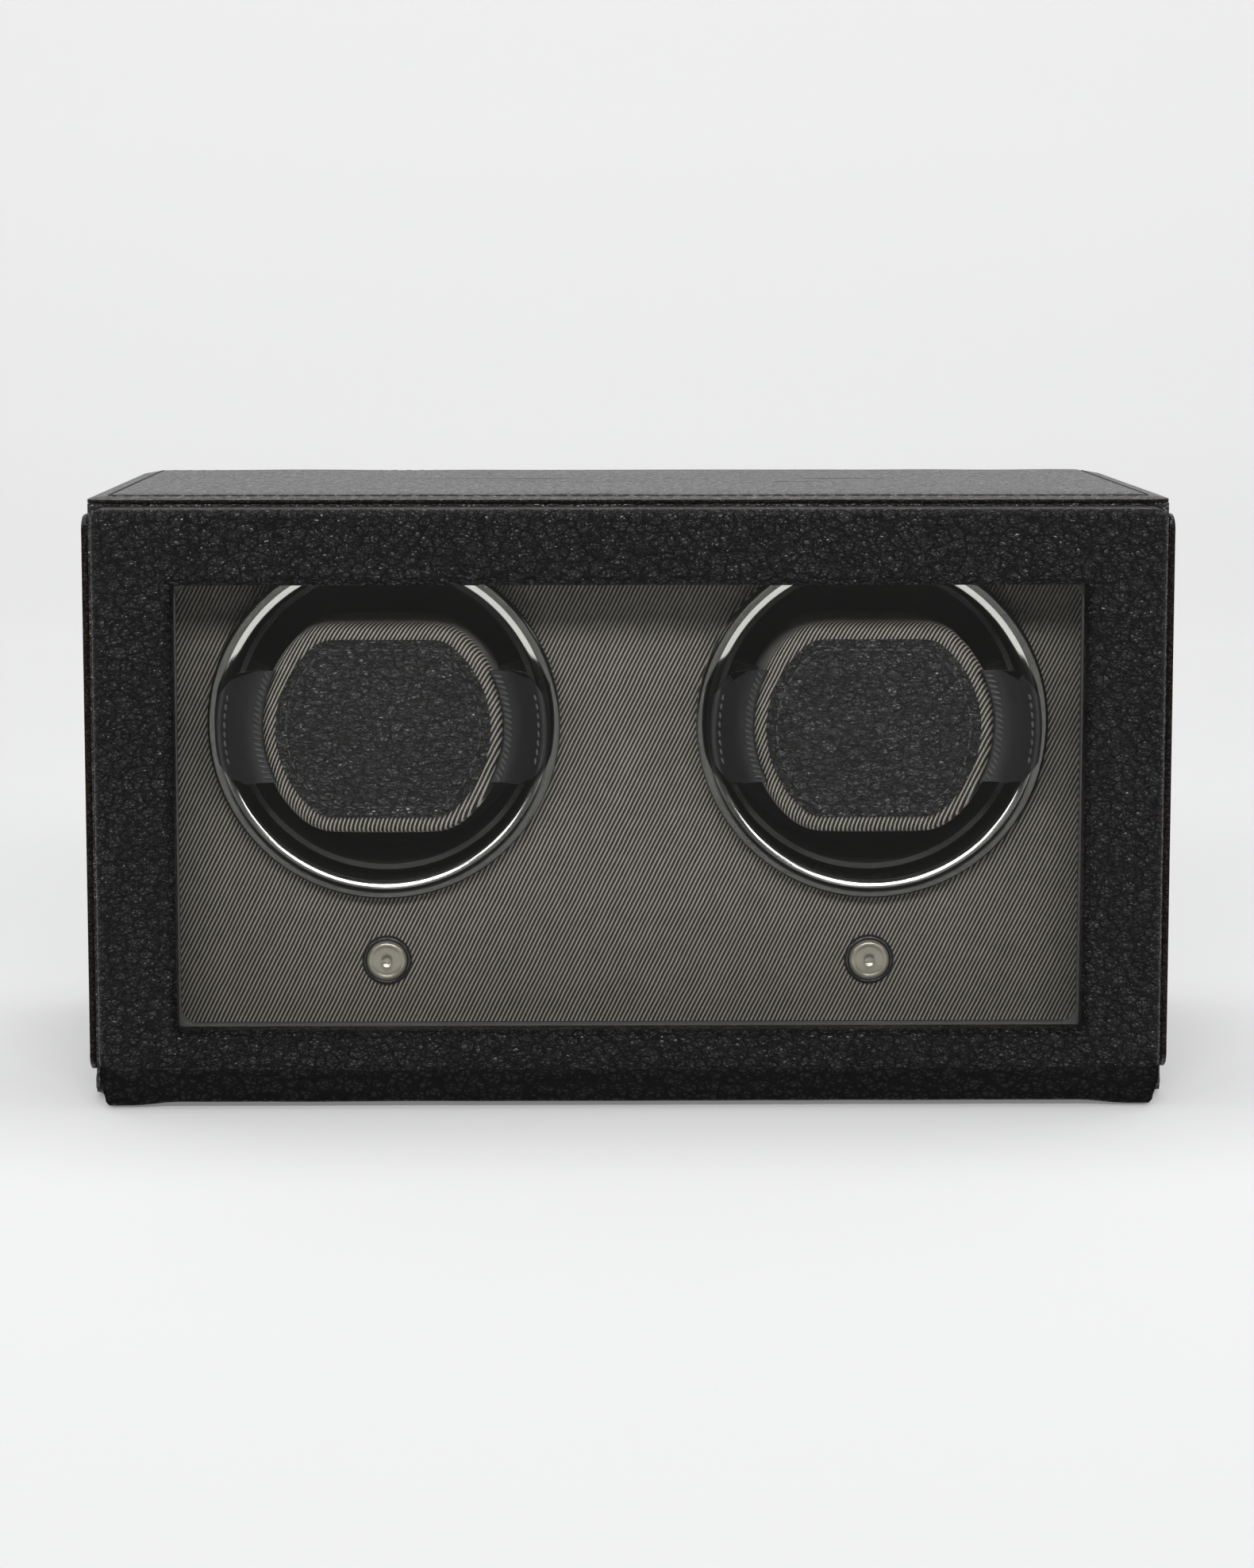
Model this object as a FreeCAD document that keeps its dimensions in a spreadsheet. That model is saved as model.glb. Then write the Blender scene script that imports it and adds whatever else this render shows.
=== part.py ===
import FreeCAD, Part
import math
import os
import Sketcher

# Two-watch winder box: a leather-covered wooden case with a drop-down glazed door.
# Behind the glass, a fabric fascia carries two chrome rings. Inside each ring a drum
# turns about Y and holds a removable watch cuff. A gear motor under each drum drives it,
# and one push-button under each ring starts it.
#
# Frame: millimetres, +Z up, the front faces -Y, the origin is on the table under the
# middle of the box. "Left" and "right" are those of a person facing the front.

Vector = FreeCAD.Vector
TURN_TO_Y = FreeCAD.Rotation(Vector(1, 0, 0), -90)

# alias, millimetres (or a count), what it is
DRIVING_SIZES = [
    ("case_width", 311.0, "outside width over the side leather"),
    ("case_depth", 180.0, "front face of the door to the back leather"),
    ("case_height", 172.5, "table to the top leather"),
    ("board", 8.0, "thickness of the case boards"),
    ("leather", 1.2, "thickness of the thin leather"),
    ("side_leather", 2.2, "thickness of the padded side leather"),
    ("foot_thickness", 0.8, "felt foot pads"),
    ("foot_radius", 7.0, "felt foot pads"),
    ("rear_corner", 8.0, "outside radius of the rear vertical corners"),
    ("base_edge_top", 6.4, "top of the leather edge round the base"),
    ("side_leather_bottom", 8.0, "lower edge of the side leather"),
    ("side_leather_top", 168.0, "upper edge of the side leather"),
    ("top_leather_width", 308.0, "width of the top leather"),
    ("door_width", 302.0, "outside width of the door"),
    ("door_thickness", 15.0, "front face to back face of the door"),
    ("door_bottom", 3.0, "height of the lower edge of the door"),
    ("door_top", 170.5, "height of the upper edge of the door"),
    ("door_gap", 0.5, "door back to case front"),
    ("door_edge_round", 2.0, "rounding of the door's front edges"),
    ("window_width", 257.2, "clear width of the window"),
    ("window_bottom", 22.5, "height of the lower window edge"),
    ("window_top", 149.0, "height of the upper window edge"),
    ("window_edge_round", 2.4, "rounding of the window's front edge"),
    ("window_corner", 5.0, "corner radius of the glass retainer"),
    ("glass_depth", 8.0, "front face of the door to the glass"),
    ("glass", 3.0, "thickness of the glass"),
    ("glass_overlap", 5.4, "glass edge hidden behind the window edge"),
    ("hinge_strip_top", 11.0, "upper edge of the hinge leather on the door"),
    ("hinge_strip_width", 301.4, "width of the hinge leather"),
    ("hinge_inset", 1.0, "door front to hinge line"),
    ("hinge_height", 2.4, "height of the hinge line"),
    ("magnet_radius", 2.5, "door catch magnets"),
    ("magnet_length", 3.0, "door catch magnets"),
    ("magnet_spread", 240.0, "distance between the two catch magnets"),
    ("magnet_height", 166.5, "height of the catch magnets"),
    ("fascia_depth", 38.0, "door front to fascia fabric"),
    ("fascia_fabric", 1.0, "thickness of the fabric on the fascia"),
    ("fascia_board", 6.0, "thickness of the fascia board"),
    ("lining", 0.8, "thickness of the lining in front of the fascia"),
    ("drum_spacing", 141.6, "distance between the drum axes"),
    ("drum_height", 106.5, "height of the drum axes"),
    ("ring_radius", 51.1, "outside radius of a chrome ring"),
    ("ring_lip", 46.2, "inside radius of a chrome ring"),
    ("ring_stand", 6.0, "ring front to fascia fabric"),
    ("ring_neck_wall", 2.0, "wall of the ring's neck"),
    ("ring_neck_length", 14.0, "fascia fabric to the end of the neck"),
    ("cup_radius", 45.0, "outside radius of a drum cup"),
    ("cup_wall", 1.6, "wall of a drum cup"),
    ("cup_rim_depth", 18.0, "ring front to the rim of the drum cup"),
    ("cup_length", 45.0, "rim to back of the drum cup"),
    ("cup_floor", 3.0, "thickness of the drum cup's back"),
    ("shaft_radius", 3.0, "drum shaft"),
    ("shaft_length", 25.0, "drum back to the end of the shaft"),
    ("shaft_head_radius", 7.0, "head of the drum shaft"),
    ("running_gap", 0.05, "radial clearance of turning and sliding pieces"),
    ("gear_module", 1.0, "tooth size"),
    ("drum_teeth", 80.0, "teeth of a drum gear"),
    ("pinion_teeth", 20.0, "teeth of a motor pinion"),
    ("gear_width", 6.0, "face width of the gears"),
    ("gear_backlash", 0.16, "play between the teeth"),
    ("mechanism_gap", 10.0, "drum back to the mechanism board"),
    ("mechanism_board", 6.0, "thickness of the mechanism board"),
    ("bearing_radius", 6.0, "outside radius of a drum bearing"),
    ("bearing_length", 13.5, "length of a drum bearing"),
    ("motor_radius", 12.0, "gear motor"),
    ("motor_length", 30.0, "gear motor"),
    ("motor_shaft_radius", 1.5, "shaft of the motor pinion"),
    ("motor_screw_spread", 17.0, "distance between a motor's two screws"),
    ("cuff_radius", 36.5, "fabric face of a watch cuff"),
    ("cuff_half_height", 31.3, "middle to the flat top of a cuff"),
    ("cuff_stand", 4.0, "cuff fabric to ring front"),
    ("cuff_length", 42.0, "front to back of a cuff"),
    ("cuff_drop", 0.8, "a cuff sits this much below the drum axis"),
    ("pad_radius", 31.0, "leather pad on the cuff"),
    ("pad_half_height", 25.75, "middle to the flat top of a pad"),
    ("pad_thickness", 2.0, "leather pad on the cuff"),
    ("wing_half_height", 17.0, "half the height of a cuff wing"),
    ("wing_reach", 47.5, "drum axis to the outer edge of a wing"),
    ("button_spacing", 141.2, "distance between the push-buttons"),
    ("button_height", 36.5, "height of the push-buttons"),
    ("button_radius", 5.9, "cap of a push-button"),
    ("button_stand", 2.8, "cap front to fascia fabric"),
    ("bezel_radius", 7.3, "ring round a push-button"),
    ("bezel_stand", 1.4, "bezel front to fascia fabric"),
    ("sleeve_wall", 0.65, "wall of the button sleeve"),
    ("circuit_depth", 9.0, "fascia board back to circuit board"),
    ("circuit_thickness", 1.6, "circuit board"),
    ("circuit_width", 190.0, "circuit board"),
    ("circuit_height", 25.0, "circuit board"),
    ("lead_radius", 1.4, "insulated leads"),
    ("lead_bend_radius", 6.0, "centre line of the leads' bends"),
    ("cable_hole_radius", 10.0, "hole for the leads in the mechanism board"),
    ("cable_hole_height", 33.0, "hole for the leads in the mechanism board"),
    ("jack_radius", 4.0, "threaded barrel of the power socket"),
    ("jack_flange_radius", 6.0, "flange of the power socket"),
    ("jack_bore_radius", 3.1, "bore of the power socket"),
    ("jack_bore_depth", 10.0, "bore of the power socket"),
    ("jack_length", 16.0, "power socket"),
    ("jack_height", 33.0, "height of the power socket"),
    ("jack_offset", 60.0, "middle of the back to the power socket"),
    ("screw_radius", 1.5, "small screws"),
    ("screw_head_radius", 2.75, "small screws"),
    ("screw_head_height", 1.8, "small screws"),
]


class Size:
    """A length that carries both its value and the sheet formula behind it."""

    def __init__(self, value, formula):
        self.value = float(value)
        self.formula = formula

    def __add__(self, other):
        other = as_size(other)
        return Size(self.value + other.value, f"({self.formula} + {other.formula})")

    def __sub__(self, other):
        other = as_size(other)
        return Size(self.value - other.value, f"({self.formula} - {other.formula})")

    def __mul__(self, factor):
        factor = as_size(factor)
        return Size(self.value * factor.value, f"({self.formula} * {factor.formula})")

    def __truediv__(self, divisor):
        return Size(self.value / divisor, f"({self.formula} / {divisor})")

    def __neg__(self):
        return Size(-self.value, f"(0 - {self.formula})")

    __radd__ = __add__
    __rmul__ = __mul__


def as_size(number):
    if isinstance(number, Size):
        return number
    return Size(number, f"({number})")


class Sizes:
    """The driving dimensions, one attribute for each alias of the sheet."""

    def __init__(self, sheet):
        for row, (alias, value, note) in enumerate(DRIVING_SIZES, start=1):
            sheet.set(f"A{row}", alias)
            sheet.set(f"B{row}", str(value))
            sheet.set(f"C{row}", note)
            sheet.setAlias(f"B{row}", alias)
            setattr(self, alias, Size(value, f"{sheet.Name}.{alias}"))


doc = FreeCAD.newDocument("watch_winder_box")
sheet = doc.addObject("Spreadsheet::Sheet", "dims")
d = Sizes(sheet)
doc.recompute()
finished = []

# ---------------------------------------------------------------- places

FRONT = -d.case_depth / 2
BACK = d.case_depth / 2
DOOR_BACK = FRONT + d.door_thickness
CASE_FRONT = DOOR_BACK + d.door_gap
BOARD_FRONT = CASE_FRONT + d.leather
BOARD_BACK = BACK - d.side_leather
BOARD_SIDE = d.case_width / 2 - d.side_leather
BOARD_CORNER = d.rear_corner - d.side_leather
ROOM_SIDE = BOARD_SIDE - d.board
BASE_BOTTOM = d.foot_thickness + d.leather
BASE_TOP = BASE_BOTTOM + d.board
TOP_TOP = d.case_height - d.leather
TOP_BOTTOM = TOP_TOP - d.board
ROOM_BACK = BOARD_BACK - d.board
FASCIA_FRONT = FRONT + d.fascia_depth
FASCIA_BOARD_FRONT = FASCIA_FRONT + d.fascia_fabric
FASCIA_BACK = FASCIA_BOARD_FRONT + d.fascia_board
RING_FRONT = FASCIA_FRONT - d.ring_stand
NECK_RADIUS = d.ring_lip + d.ring_neck_wall
CUP_RIM = RING_FRONT + d.cup_rim_depth
CUP_BACK = CUP_RIM + d.cup_length
CUP_FLOOR = CUP_BACK - d.cup_floor
MECHANISM_FRONT = CUP_BACK + d.mechanism_gap
MECHANISM_BACK = MECHANISM_FRONT + d.mechanism_board
BEARING_FRONT = MECHANISM_FRONT - 1.5
CUFF_FRONT = RING_FRONT - d.cuff_stand
CUFF_BACK = CUFF_FRONT + d.cuff_length
CIRCUIT_FRONT = FASCIA_BACK + d.circuit_depth
CIRCUIT_BACK = CIRCUIT_FRONT + d.circuit_thickness
BEZEL_BACK = FASCIA_BACK + 2.0
GEAR_DISTANCE = (d.drum_teeth + d.pinion_teeth) * d.gear_module / 2
PINION_HEIGHT = d.drum_height - GEAR_DISTANCE
SIDES = (("left", -1), ("right", 1))


# ---------------------------------------------------------------- helpers

def bind(thing, **sizes):
    """Ties each property to the sheet through its formula."""
    for name, size in sizes.items():
        thing.setExpression(name, as_size(size).formula)


def move(thing, x=0, y=0, z=0):
    for axis, size in (("x", x), ("y", y), ("z", z)):
        thing.setExpression(f"Placement.Base.{axis}", as_size(size).formula)


def finish(thing, label):
    """Names a finished sub-part and puts it on the list to be written."""
    thing.Label = label
    finished.append(thing)
    return thing


def block(name, x, y, z):
    """A box from its (low, high) pairs along the three axes."""
    thing = doc.addObject("Part::Box", name)
    spans = [as_size(high) - as_size(low) for low, high in (x, y, z)]
    bind(thing, Length=spans[0], Width=spans[1], Height=spans[2])
    move(thing, x[0], y[0], z[0])
    return thing


def rod(name, radius, y, x=0, z=0):
    """A cylinder along Y from y[0] to y[1]."""
    thing = doc.addObject("Part::Cylinder", name)
    thing.Placement = FreeCAD.Placement(Vector(), TURN_TO_Y)
    bind(thing, Radius=radius, Height=as_size(y[1]) - y[0])
    move(thing, x, y[0], z)
    return thing


def post(name, radius, z, x=0, y=0):
    """A cylinder along Z from z[0] to z[1]."""
    thing = doc.addObject("Part::Cylinder", name)
    bind(thing, Radius=radius, Height=as_size(z[1]) - z[0])
    move(thing, x, y, z[0])
    return thing


def group(name, pieces):
    thing = doc.addObject("Part::Compound", name)
    thing.Links = list(pieces)
    return thing


def unite(name, *pieces):
    thing = doc.addObject("Part::MultiFuse", name)
    thing.Shapes = list(pieces)
    thing.Refine = True
    return thing


def cut(name, base, *tools):
    """Takes the tools, one after the other, out of the base."""
    for number, tool in enumerate(tools):
        last = number == len(tools) - 1
        thing = doc.addObject("Part::Cut", name if last else f"{name}_step")
        thing.Base = base
        thing.Tool = tool
        base = thing
    return base


def common(name, first, second):
    thing = doc.addObject("Part::Common", name)
    thing.Base = first
    thing.Tool = second
    return thing


def round_edges(name, base, radius, wanted):
    """Rounds the edges of the base that pass the test, given the edge's and the base's boxes."""
    doc.recompute()
    thing = doc.addObject("Part::Fillet", name)
    thing.Base = base
    whole = base.Shape.BoundBox
    numbers = [n for n, edge in enumerate(base.Shape.Edges, start=1)
               if wanted(edge.BoundBox, whole)]
    thing.Edges = [(n, radius.value, radius.value) for n in numbers]
    return thing


def upright(box):
    return box.ZLength > 1 and box.XLength < 0.01 and box.YLength < 0.01


def rear_upright(box, whole):
    return upright(box) and box.YMax > whole.YMax - 0.01


def front_upright(box, whole):
    return upright(box) and box.YMin < whole.YMin + 0.01


def origin_part(body, role):
    return next(item for item in body.Origin.OriginFeatures if item.Role == role)


def sketch_on(body, plane, *loops):
    """A sketch on an origin plane, with closed loops whose corners follow the sheet."""
    sketch = body.newObject("Sketcher::SketchObject", f"{body.Name}_sketch")
    sketch.AttachmentSupport = [(origin_part(body, plane), "")]
    sketch.MapMode = "FlatFace"
    for loop in loops:
        corners = [(as_size(a), as_size(b)) for a, b in loop]
        first = sketch.GeometryCount
        points = [Vector(a.value, b.value, 0) for a, b in corners]
        for start, end in zip(points, points[1:] + points[:1]):
            sketch.addGeometry(Part.LineSegment(start, end), False)
        for number, corner in enumerate(corners):
            here = first + number
            after = first + (number + 1) % len(corners)
            sketch.addConstraint(Sketcher.Constraint("Coincident", here, 2, after, 1))
            for kind, size in zip(("DistanceX", "DistanceY"), corner):
                index = sketch.addConstraint(Sketcher.Constraint(kind, here, 1, size.value))
                sketch.setExpression(f"Constraints[{index}]", size.formula)
    return sketch


def turned(name, profile, x=0, z=0):
    """A piece turned about a Y axis, from its (radius, y) profile."""
    body = doc.addObject("PartDesign::Body", name)
    sketch = sketch_on(body, "XY_Plane", profile)
    feature = body.newObject("PartDesign::Revolution", f"{name}_turning")
    feature.Profile = sketch
    feature.ReferenceAxis = (origin_part(body, "Y_Axis"), [""])
    feature.Angle = 360
    move(body, x=x, z=z)
    return body


def rectangle(x, z):
    return [(x[0], z[0]), (x[1], z[0]), (x[1], z[1]), (x[0], z[1])]


def plate(name, y, *loops):
    """A flat piece padded forward from y[1] to y[0]; later loops are its openings."""
    body = doc.addObject("PartDesign::Body", name)
    sketch = sketch_on(body, "XZ_Plane", *loops)
    pad = body.newObject("PartDesign::Pad", f"{name}_pad")
    pad.Profile = sketch
    bind(pad, Length=as_size(y[1]) - y[0])
    move(body, y=y[1])
    return body


def fillet_body(body, radius, wanted):
    """A PartDesign fillet on the edges of a body whose bounding box passes the test."""
    doc.recompute()
    tip = body.Tip
    names = [f"Edge{n}" for n, edge in enumerate(body.Shape.Edges, start=1)
             if wanted(edge.BoundBox)]
    feature = body.newObject("PartDesign::Fillet", f"{body.Name}_round")
    feature.Base = (tip, names)
    bind(feature, Radius=radius)
    return body


def tube_profile(inside, outside, y):
    return [(inside, y[0]), (outside, y[0]), (outside, y[1]), (inside, y[1])]


# ---------------------------------------------------------------- case

def base_board():
    blank = block("base_blank", (-BOARD_SIDE, BOARD_SIDE), (BOARD_FRONT, BOARD_BACK),
                  (BASE_BOTTOM, BASE_TOP))
    return finish(round_edges("base_piece", blank, BOARD_CORNER, rear_upright), "base_board")


def top_board():
    blank = block("top_blank", (-BOARD_SIDE, BOARD_SIDE), (BOARD_FRONT, BOARD_BACK),
                  (TOP_BOTTOM, TOP_TOP))
    rounded = round_edges("top_rounded", blank, BOARD_CORNER, rear_upright)
    pockets = magnets("top_pocket", (BOARD_FRONT, BOARD_FRONT + d.magnet_length))
    return finish(cut("top_piece", rounded, *pockets), "top_board")


def side_boards():
    for side, sign in SIDES:
        reach = sorted((ROOM_SIDE * sign, BOARD_SIDE * sign), key=lambda size: size.value)
        piece = block(f"{side}_side", reach, (BOARD_FRONT, ROOM_BACK), (BASE_TOP, TOP_BOTTOM))
        finish(piece, f"{side}_side_board")


def back_board():
    blank = block("back_blank", (-BOARD_SIDE, BOARD_SIDE), (ROOM_BACK, BOARD_BACK),
                  (BASE_TOP, TOP_BOTTOM))
    rounded = round_edges("back_rounded", blank, BOARD_CORNER, rear_upright)
    hole = rod("back_jack_hole", d.jack_radius, (ROOM_BACK, BOARD_BACK),
               x=d.jack_offset, z=d.jack_height)
    return finish(cut("back_piece", rounded, hole), "back_board")


def magnets(name, y):
    return [rod(f"{name}_{side}", d.magnet_radius, y, x=d.magnet_spread / 2 * sign,
                z=d.magnet_height) for side, sign in SIDES]


def catch_magnets():
    case_pair = magnets("case_magnet", (BOARD_FRONT, BOARD_FRONT + d.magnet_length))
    finish(group("case_magnet_pair", case_pair), "case_magnets")
    lining_front = DOOR_BACK - d.leather
    door_pair = magnets("door_magnet", (lining_front - d.magnet_length, lining_front))
    finish(group("door_magnet_pair", door_pair), "door_magnets")


def base_leather():
    """The bottom sheet with its turned-up edge, and the flap that runs under the door."""
    side = BOARD_SIDE + d.leather
    rear = BOARD_BACK + d.leather
    blank = block("base_leather_blank", (-side, side), (CASE_FRONT, rear),
                  (d.foot_thickness, d.base_edge_top))
    rounded = round_edges("base_leather_rounded", blank, BOARD_CORNER + d.leather, rear_upright)
    room_blank = block("base_leather_room", (-BOARD_SIDE, BOARD_SIDE),
                       (CASE_FRONT - 1, BOARD_BACK), (BASE_BOTTOM, BASE_TOP))
    room = round_edges("base_leather_room_rounded", room_blank, BOARD_CORNER, rear_upright)
    tray = cut("base_leather_tray", rounded, room)
    flap_side = d.hinge_strip_width / 2
    flap = block("base_leather_flap", (-flap_side, flap_side),
                 (FRONT + d.hinge_inset + 0.6, CASE_FRONT + 1), (d.foot_thickness, BASE_BOTTOM))
    return finish(unite("base_leather_piece", tray, flap), "base_leather")


def side_and_back_leather():
    """One padded leather band round the left side, the back and the right side."""
    side = d.case_width / 2
    height = (d.side_leather_bottom, d.side_leather_top)
    blank = block("band_blank", (-side, side), (CASE_FRONT, BACK), height)
    rounded = round_edges("band_rounded", blank, d.rear_corner, rear_upright)
    room_blank = block("band_room", (-BOARD_SIDE, BOARD_SIDE), (CASE_FRONT - 1, BOARD_BACK),
                       (d.side_leather_bottom - 1, d.side_leather_top + 1))
    room = round_edges("band_room_rounded", room_blank, BOARD_CORNER, rear_upright)
    hole = rod("band_jack_hole", d.jack_flange_radius, (BOARD_BACK - 1, BACK + 1),
               x=d.jack_offset, z=d.jack_height)
    return finish(cut("band_piece", rounded, room, hole), "side_and_back_leather")


def top_leather():
    side = d.top_leather_width / 2
    blank = block("top_leather_blank", (-side, side), (DOOR_BACK, BOARD_BACK + 0.7),
                  (TOP_TOP, d.case_height))
    rounded = round_edges("top_leather_rear", blank, BOARD_CORNER + 0.7, rear_upright)
    front = round_edges("top_leather_piece", rounded, as_size(1.5), front_upright)
    return finish(front, "top_leather")


def front_edge_leather():
    """The leather frame that covers the front edges of the four boards."""
    outside = rectangle((-BOARD_SIDE, BOARD_SIDE), (BASE_BOTTOM, TOP_TOP))
    inside = rectangle((-ROOM_SIDE, ROOM_SIDE), (BASE_TOP, TOP_BOTTOM))
    return finish(plate("front_edge", (CASE_FRONT, BOARD_FRONT), outside, inside),
                  "front_edge_leather")


def cavity_lining():
    outside = rectangle((-ROOM_SIDE, ROOM_SIDE), (BASE_TOP, TOP_BOTTOM))
    side = ROOM_SIDE - d.lining
    inside = rectangle((-side, side), (BASE_TOP + d.lining, TOP_BOTTOM - d.lining))
    return finish(plate("cavity", (BOARD_FRONT, FASCIA_FRONT), outside, inside), "cavity_lining")


def foot_pads():
    inset = 18.0
    places = [(x, y) for x in (-BOARD_SIDE + inset, BOARD_SIDE - inset)
              for y in (BOARD_FRONT + inset, BOARD_BACK - inset)]
    pads = [post("foot", d.foot_radius, (0, d.foot_thickness), x=x, y=y) for x, y in places]
    return finish(group("foot_group", pads), "foot_pads")


# ---------------------------------------------------------------- door

def window(extra=0):
    """The window outline, made larger on every side by extra."""
    side = d.window_width / 2 + extra
    return rectangle((-side, side), (d.window_bottom - extra, d.window_top + extra))


def door_frame_board():
    side = d.door_width / 2 - d.leather
    outside = rectangle((-side, side), (d.door_bottom + d.leather, d.door_top - d.leather))
    glass_front = FRONT + d.glass_depth
    back = DOOR_BACK - d.leather
    lip = plate("door_board_lip", (FRONT + d.leather, glass_front), outside, window(d.leather))
    rebate = plate("door_board_rebate", (glass_front, back), outside, window(d.glass_overlap + 0.3))
    pockets = magnets("door_pocket", (back - d.magnet_length, back))
    frame = unite("door_board_frame", lip, rebate)
    return finish(cut("door_board_piece", frame, *pockets), "door_frame_board")


def door_leather():
    """Front skin with its edges turned back over the sides and into the window."""
    side = d.door_width / 2
    inner = side - d.leather
    skin_back = FRONT + d.leather
    rim_back = DOOR_BACK - d.leather
    outside = rectangle((-side, side), (d.hinge_strip_top, d.door_top))
    solid = plate("door_skin", (FRONT, rim_back), outside, window())
    fillet_body(solid, d.door_edge_round, front_edges_of(side.value))
    fillet_body(solid, d.window_edge_round, front_edges_of(d.window_width.value / 2))
    room = plate("door_skin_room", (skin_back, rim_back),
                 rectangle((-inner, inner), (d.hinge_strip_top, d.door_top - d.leather)),
                 window(d.leather))
    behind = plate("door_skin_behind", (FRONT + d.glass_depth, rim_back), window(d.leather))
    return finish(cut("door_skin_piece", solid, room, behind), "door_leather")


def front_edges_of(side):
    """Front edges of the rectangle whose half width is given, without its lower edge."""
    def wanted(box):
        at_front = box.YMax < FRONT.value + 0.01
        upright_edge = abs(abs(box.Center.x) - side) < 0.01 and box.ZLength > 1
        level = box.XLength > 2 * side - 0.01 and box.XLength < 2 * side + 0.01
        return at_front and (upright_edge or level and box.Center.z > d.hinge_strip_top.value + 1)
    return wanted


def door_back_lining():
    side = d.door_width / 2
    outside = rectangle((-side, side), (d.door_bottom, d.door_top))
    return finish(plate("door_lining", (DOOR_BACK - d.leather, DOOR_BACK), outside, window()),
                  "door_back_lining")


def hinge_leather():
    """The part of the hinge leather that is glued to the door's foot."""
    side = d.hinge_strip_width / 2
    strip = block("hinge_strip", (-side, side), (FRONT, FRONT + d.leather),
                  (d.door_bottom, d.hinge_strip_top))
    turn = block("hinge_turn", (-side, side), (FRONT, DOOR_BACK - d.leather),
                 (d.door_bottom, d.door_bottom + d.leather))
    return finish(unite("hinge_leather_piece", strip, turn), "hinge_leather")


def glass_pane():
    front = FRONT + d.glass_depth
    return finish(plate("glass_body", (front, front + d.glass), window(d.glass_overlap)),
                  "glass_pane")


def glass_retainer():
    """The bead behind the glass; its window corners are rounded."""
    front = FRONT + d.glass_depth + d.glass
    body = plate("retainer", (front, DOOR_BACK - d.leather), window(d.glass_overlap), window())
    half = d.window_width.value / 2

    def inner_corner(box):
        across = max(box.XLength, box.ZLength)
        return box.YLength > 1 and across < 0.01 and abs(abs(box.Center.x) - half) < 0.01

    return finish(fillet_body(body, d.window_corner, inner_corner), "glass_retainer")


# ---------------------------------------------------------------- fascia

def fascia_hole(name, radius, y, x, z):
    return rod(name, radius, (y[0] - 1, y[1] + 1), x=x, z=z)


def fascia_layer(name, y, pilot_depth=None):
    """One layer of the fascia with its two ring holes and its two button holes."""
    blank = block(f"{name}_blank", (-ROOM_SIDE, ROOM_SIDE), y, (BASE_TOP, TOP_BOTTOM))
    holes = []
    for side, sign in SIDES:
        ring_x = d.drum_spacing / 2 * sign
        button_x = d.button_spacing / 2 * sign
        holes.append(fascia_hole(f"{name}_ring_hole", NECK_RADIUS, y, ring_x, d.drum_height))
        holes.append(fascia_hole(f"{name}_button_hole", SLEEVE_RADIUS, y, button_x,
                                 d.button_height))
    if pilot_depth:
        holes += [rod(f"{name}_pilot", d.screw_radius, (y[1] - pilot_depth, y[1]), x=x, z=z)
                  for x, z in CIRCUIT_CORNERS]
    return cut(f"{name}_piece", blank, *holes)


def chrome_ring(side, x):
    """A polished ring with a rounded front and a neck through the fascia."""
    front = RING_FRONT
    middle = (d.ring_radius + d.ring_lip) / 2
    profile = [
        (d.ring_lip, front + 1.6), (d.ring_lip + 0.6, front + 0.5), (middle - 0.6, front),
        (middle + 0.6, front + 0.2), (d.ring_radius - 0.7, front + 1.4),
        (d.ring_radius, front + 3.0), (d.ring_radius, FASCIA_FRONT), (NECK_RADIUS, FASCIA_FRONT),
        (NECK_RADIUS, FASCIA_FRONT + d.ring_neck_length),
        (d.ring_lip, FASCIA_FRONT + d.ring_neck_length)]
    return finish(turned(f"{side}_ring", profile, x=x, z=d.drum_height), f"{side}_chrome_ring")


# ---------------------------------------------------------------- drums and cuffs

def drum_cup(side, x):
    inside = d.cup_radius - d.cup_wall
    profile = [
        (inside, CUP_RIM), (d.cup_radius, CUP_RIM), (d.cup_radius, CUP_BACK),
        (d.shaft_radius, CUP_BACK), (d.shaft_radius, CUP_FLOOR), (inside, CUP_FLOOR)]
    return finish(turned(f"{side}_cup", profile, x=x, z=d.drum_height), f"{side}_drum_cup")


def drum_shaft(side, x):
    """The shaft has its head inside the cup and a groove for the clip at its end."""
    head_front = CUP_FLOOR - 2.0
    end = CUP_BACK + d.shaft_length
    groove = BEARING_FRONT + d.bearing_length + 0.2
    core = d.shaft_radius - 0.6
    profile = [
        (0, head_front), (d.shaft_head_radius, head_front), (d.shaft_head_radius, CUP_FLOOR),
        (d.shaft_radius, CUP_FLOOR), (d.shaft_radius, groove), (core, groove),
        (core, groove + 0.8), (d.shaft_radius, groove + 0.8), (d.shaft_radius, end), (0, end)]
    return finish(turned(f"{side}_shaft", profile, x=x, z=d.drum_height), f"{side}_drum_shaft")


def retaining_clip(side, x):
    """An open spring clip in the shaft groove."""
    front = BEARING_FRONT + d.bearing_length + 0.2
    core = d.shaft_radius - 0.6
    washer = turned(f"{side}_clip_washer", tube_profile(core, d.shaft_radius + 2, (front, front + 0.8)),
                    x=x, z=d.drum_height)
    mouth = block(f"{side}_clip_mouth", (x - core, x + core), (front - 1, front + 2),
                  (d.drum_height, d.drum_height + 8))
    return finish(cut(f"{side}_clip", washer, mouth), f"{side}_retaining_clip")


def involute(angle):
    return math.tan(angle) - angle


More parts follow.
